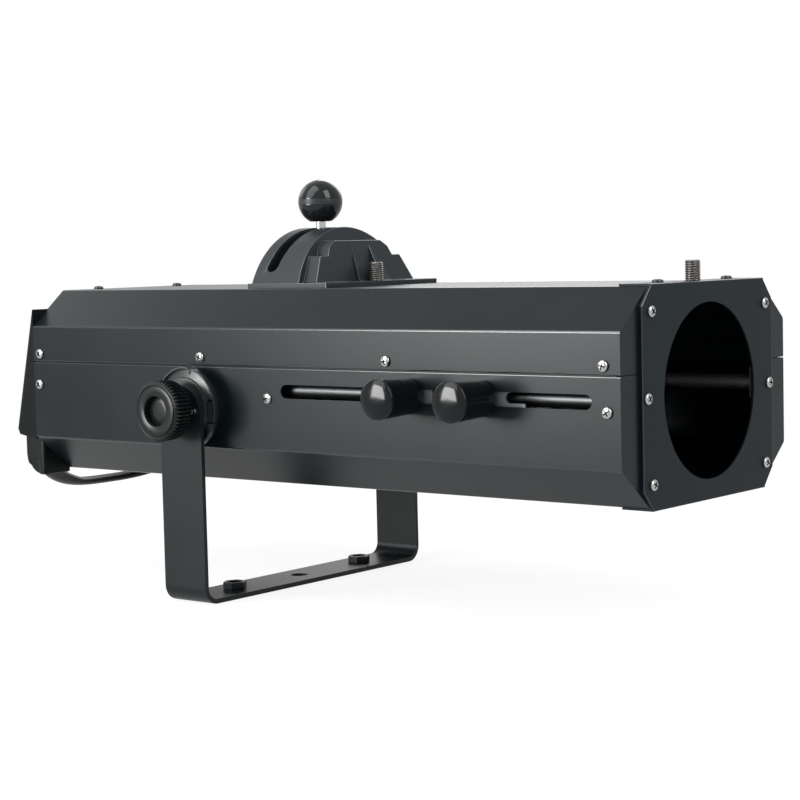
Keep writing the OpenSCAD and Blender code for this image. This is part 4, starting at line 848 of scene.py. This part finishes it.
controls_y, button_pitch = -73, 10.5
button_v, dial_v = panel_length - 54, panel_length - 85
button_profile = [(1.5, -4.5), (1.5, -3.1), (4.8, -3.0), (4.8, -1.85), (4.0, -1.8), (4.0, 1.3), (3.85, 1.75),
                  (3.5, 1.97), (3.0, 2.0), (2.0, 1.75), (1.0, 1.62), (0.01, 1.6)]
for i in range(4):
    button = smooth(turned("button", button_profile, 40), 30)
    piece = on_panel(f"push_button_{i + 1}", button, f"button_{i + 1}",
                     controls_y + (i - 1.5) * button_pitch, button_v, moulded)
    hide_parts(f"button_{i + 1}")


def ribs(r, h, a):
    """Eighteen grip ribs round the dimmer knob."""
    return r - 0.75 * (0.5 - 0.5 * math.cos(18 * a)) ** 0.5 if r > 9.3 and 2 < h < 12 else r


dial_profile = [(3, -8), (3, 0.5), (9.0, 0.5), (9.5, 0.7), (9.7, 1.2), (9.95, 2.2), (9.9, 4), (9.75, 8),
                (9.6, 11.6), (9.2, 12.4), (8.6, 12.9), (7.9, 13.0), (7.3, 12.8), (3.0, 12.6), (0.01, 12.6)]
dial = smooth(turned("dial", dial_profile, 216, ribs), 34)
piece = on_panel("dimmer_dial", dial, "dimmer_knob", controls_y, dial_v, moulded)
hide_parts("dimmer_knob")
pointer = slab((3.2, 8.3), (-0.45, 0.45), (12.5, 12.82))
on_panel("dimmer_pointer", pointer, "dimmer_knob", controls_y, dial_v, ink)
softened("power_rocker", 0.0005).data.materials.append(moulded)

# Mains inlet and control sockets.
# Moulded nylon bodies with tinned brass pins, which lie inside the recesses. Two small screws
# hold each flange.
socket_nylon = skin("socket_nylon", "#121314", "#1a1b1c", (0.36, 0.48), 800.0,
                    grain=(800.0, 3.0, 0.15, 0.0001))
brass = skin("tinned_brass_pin", "#a89f88", "#c9c2ae", (0.2, 0.34), 900.0, metallic=1.0)
pin_tip, inlet_y, inlet_v, input_y, input_v = 5.9, 68, panel_length - 86, 54, panel_length - 29
for node in ("mains_inlet", "dmx_input", "dmx_output"):
    mesh = softened(node, 0.0003).data
    mesh.materials.append(socket_nylon)
    mesh.materials.append(brass)
    for face in mesh.polygons:
        x, y, v = (inward @ face.center) * 1000
        if node == "mains_inlet":
            face.material_index = int(pin_tip < x < 18 and abs(y - inlet_y) < 8.2 and abs(v - inlet_v) < 4.8)
        if node == "dmx_input":
            face.material_index = int(pin_tip < x < 15.1 and math.hypot(y - input_y, v - input_v) < 6.4)

# Rear handle.
# One glass-filled nylon moulding with generous radii: two feet under the rear frame and a grip
# that bows down and back.
handle_skin = skin("moulded_handle_nylon", "#07090a", "#0c0f10", (0.32, 0.44), 1100.0,
                   grain=(1100.0, 3.0, 0.15, 0.0001), specular=0.11)
mesh = frame["nodes"]["rear_handle"].data.copy()
mesh.materials.clear()
piece = link_object("rear_handle_skin", mesh)
voxels = piece.modifiers.new("voxels", "REMESH")
voxels.mode = "VOXEL"
voxels.voxel_size = 0.0011
soften = piece.modifiers.new("soften", "SMOOTH")
soften.factor = 0.5
soften.iterations = 7
thin = piece.modifiers.new("thin", "DECIMATE")
thin.ratio = 0.3
shaped = evaluated(piece)
piece.modifiers.clear()
piece.data = smooth(shaped, 60)
shaped.materials.append(handle_skin)
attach(piece, "head")
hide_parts("rear_handle")

# Small screws.
# The screws that hold the pivot discs, in the same bright nickel, and the black pan heads that
# hold the rear panel and the handle. The handle's two go in from below.
softened("disc_screws", 0.0003).data.materials.append(nickel)
panel_y, panel_low, panel_high = 112.5, 7, panel_length - 14
panel_seats = [(-panel_y, panel_low), (panel_y, panel_low), (-panel_y, panel_high), (0, panel_high),
               (panel_y, panel_high)]
rear = [(panel @ (Vector((0, y, v)) / 1000), panel.to_3x3() @ Vector((-1, 0, 0))) for y, v in panel_seats]
rear += [(at(-12.3, y, -74), (0, 0, -1)) for y in (-100, 100)]
set_screws("rear_pan_screws", "rear_screws", rear, black_oxide, 12)

bpy.context.scene.view_settings.view_transform = "Standard"
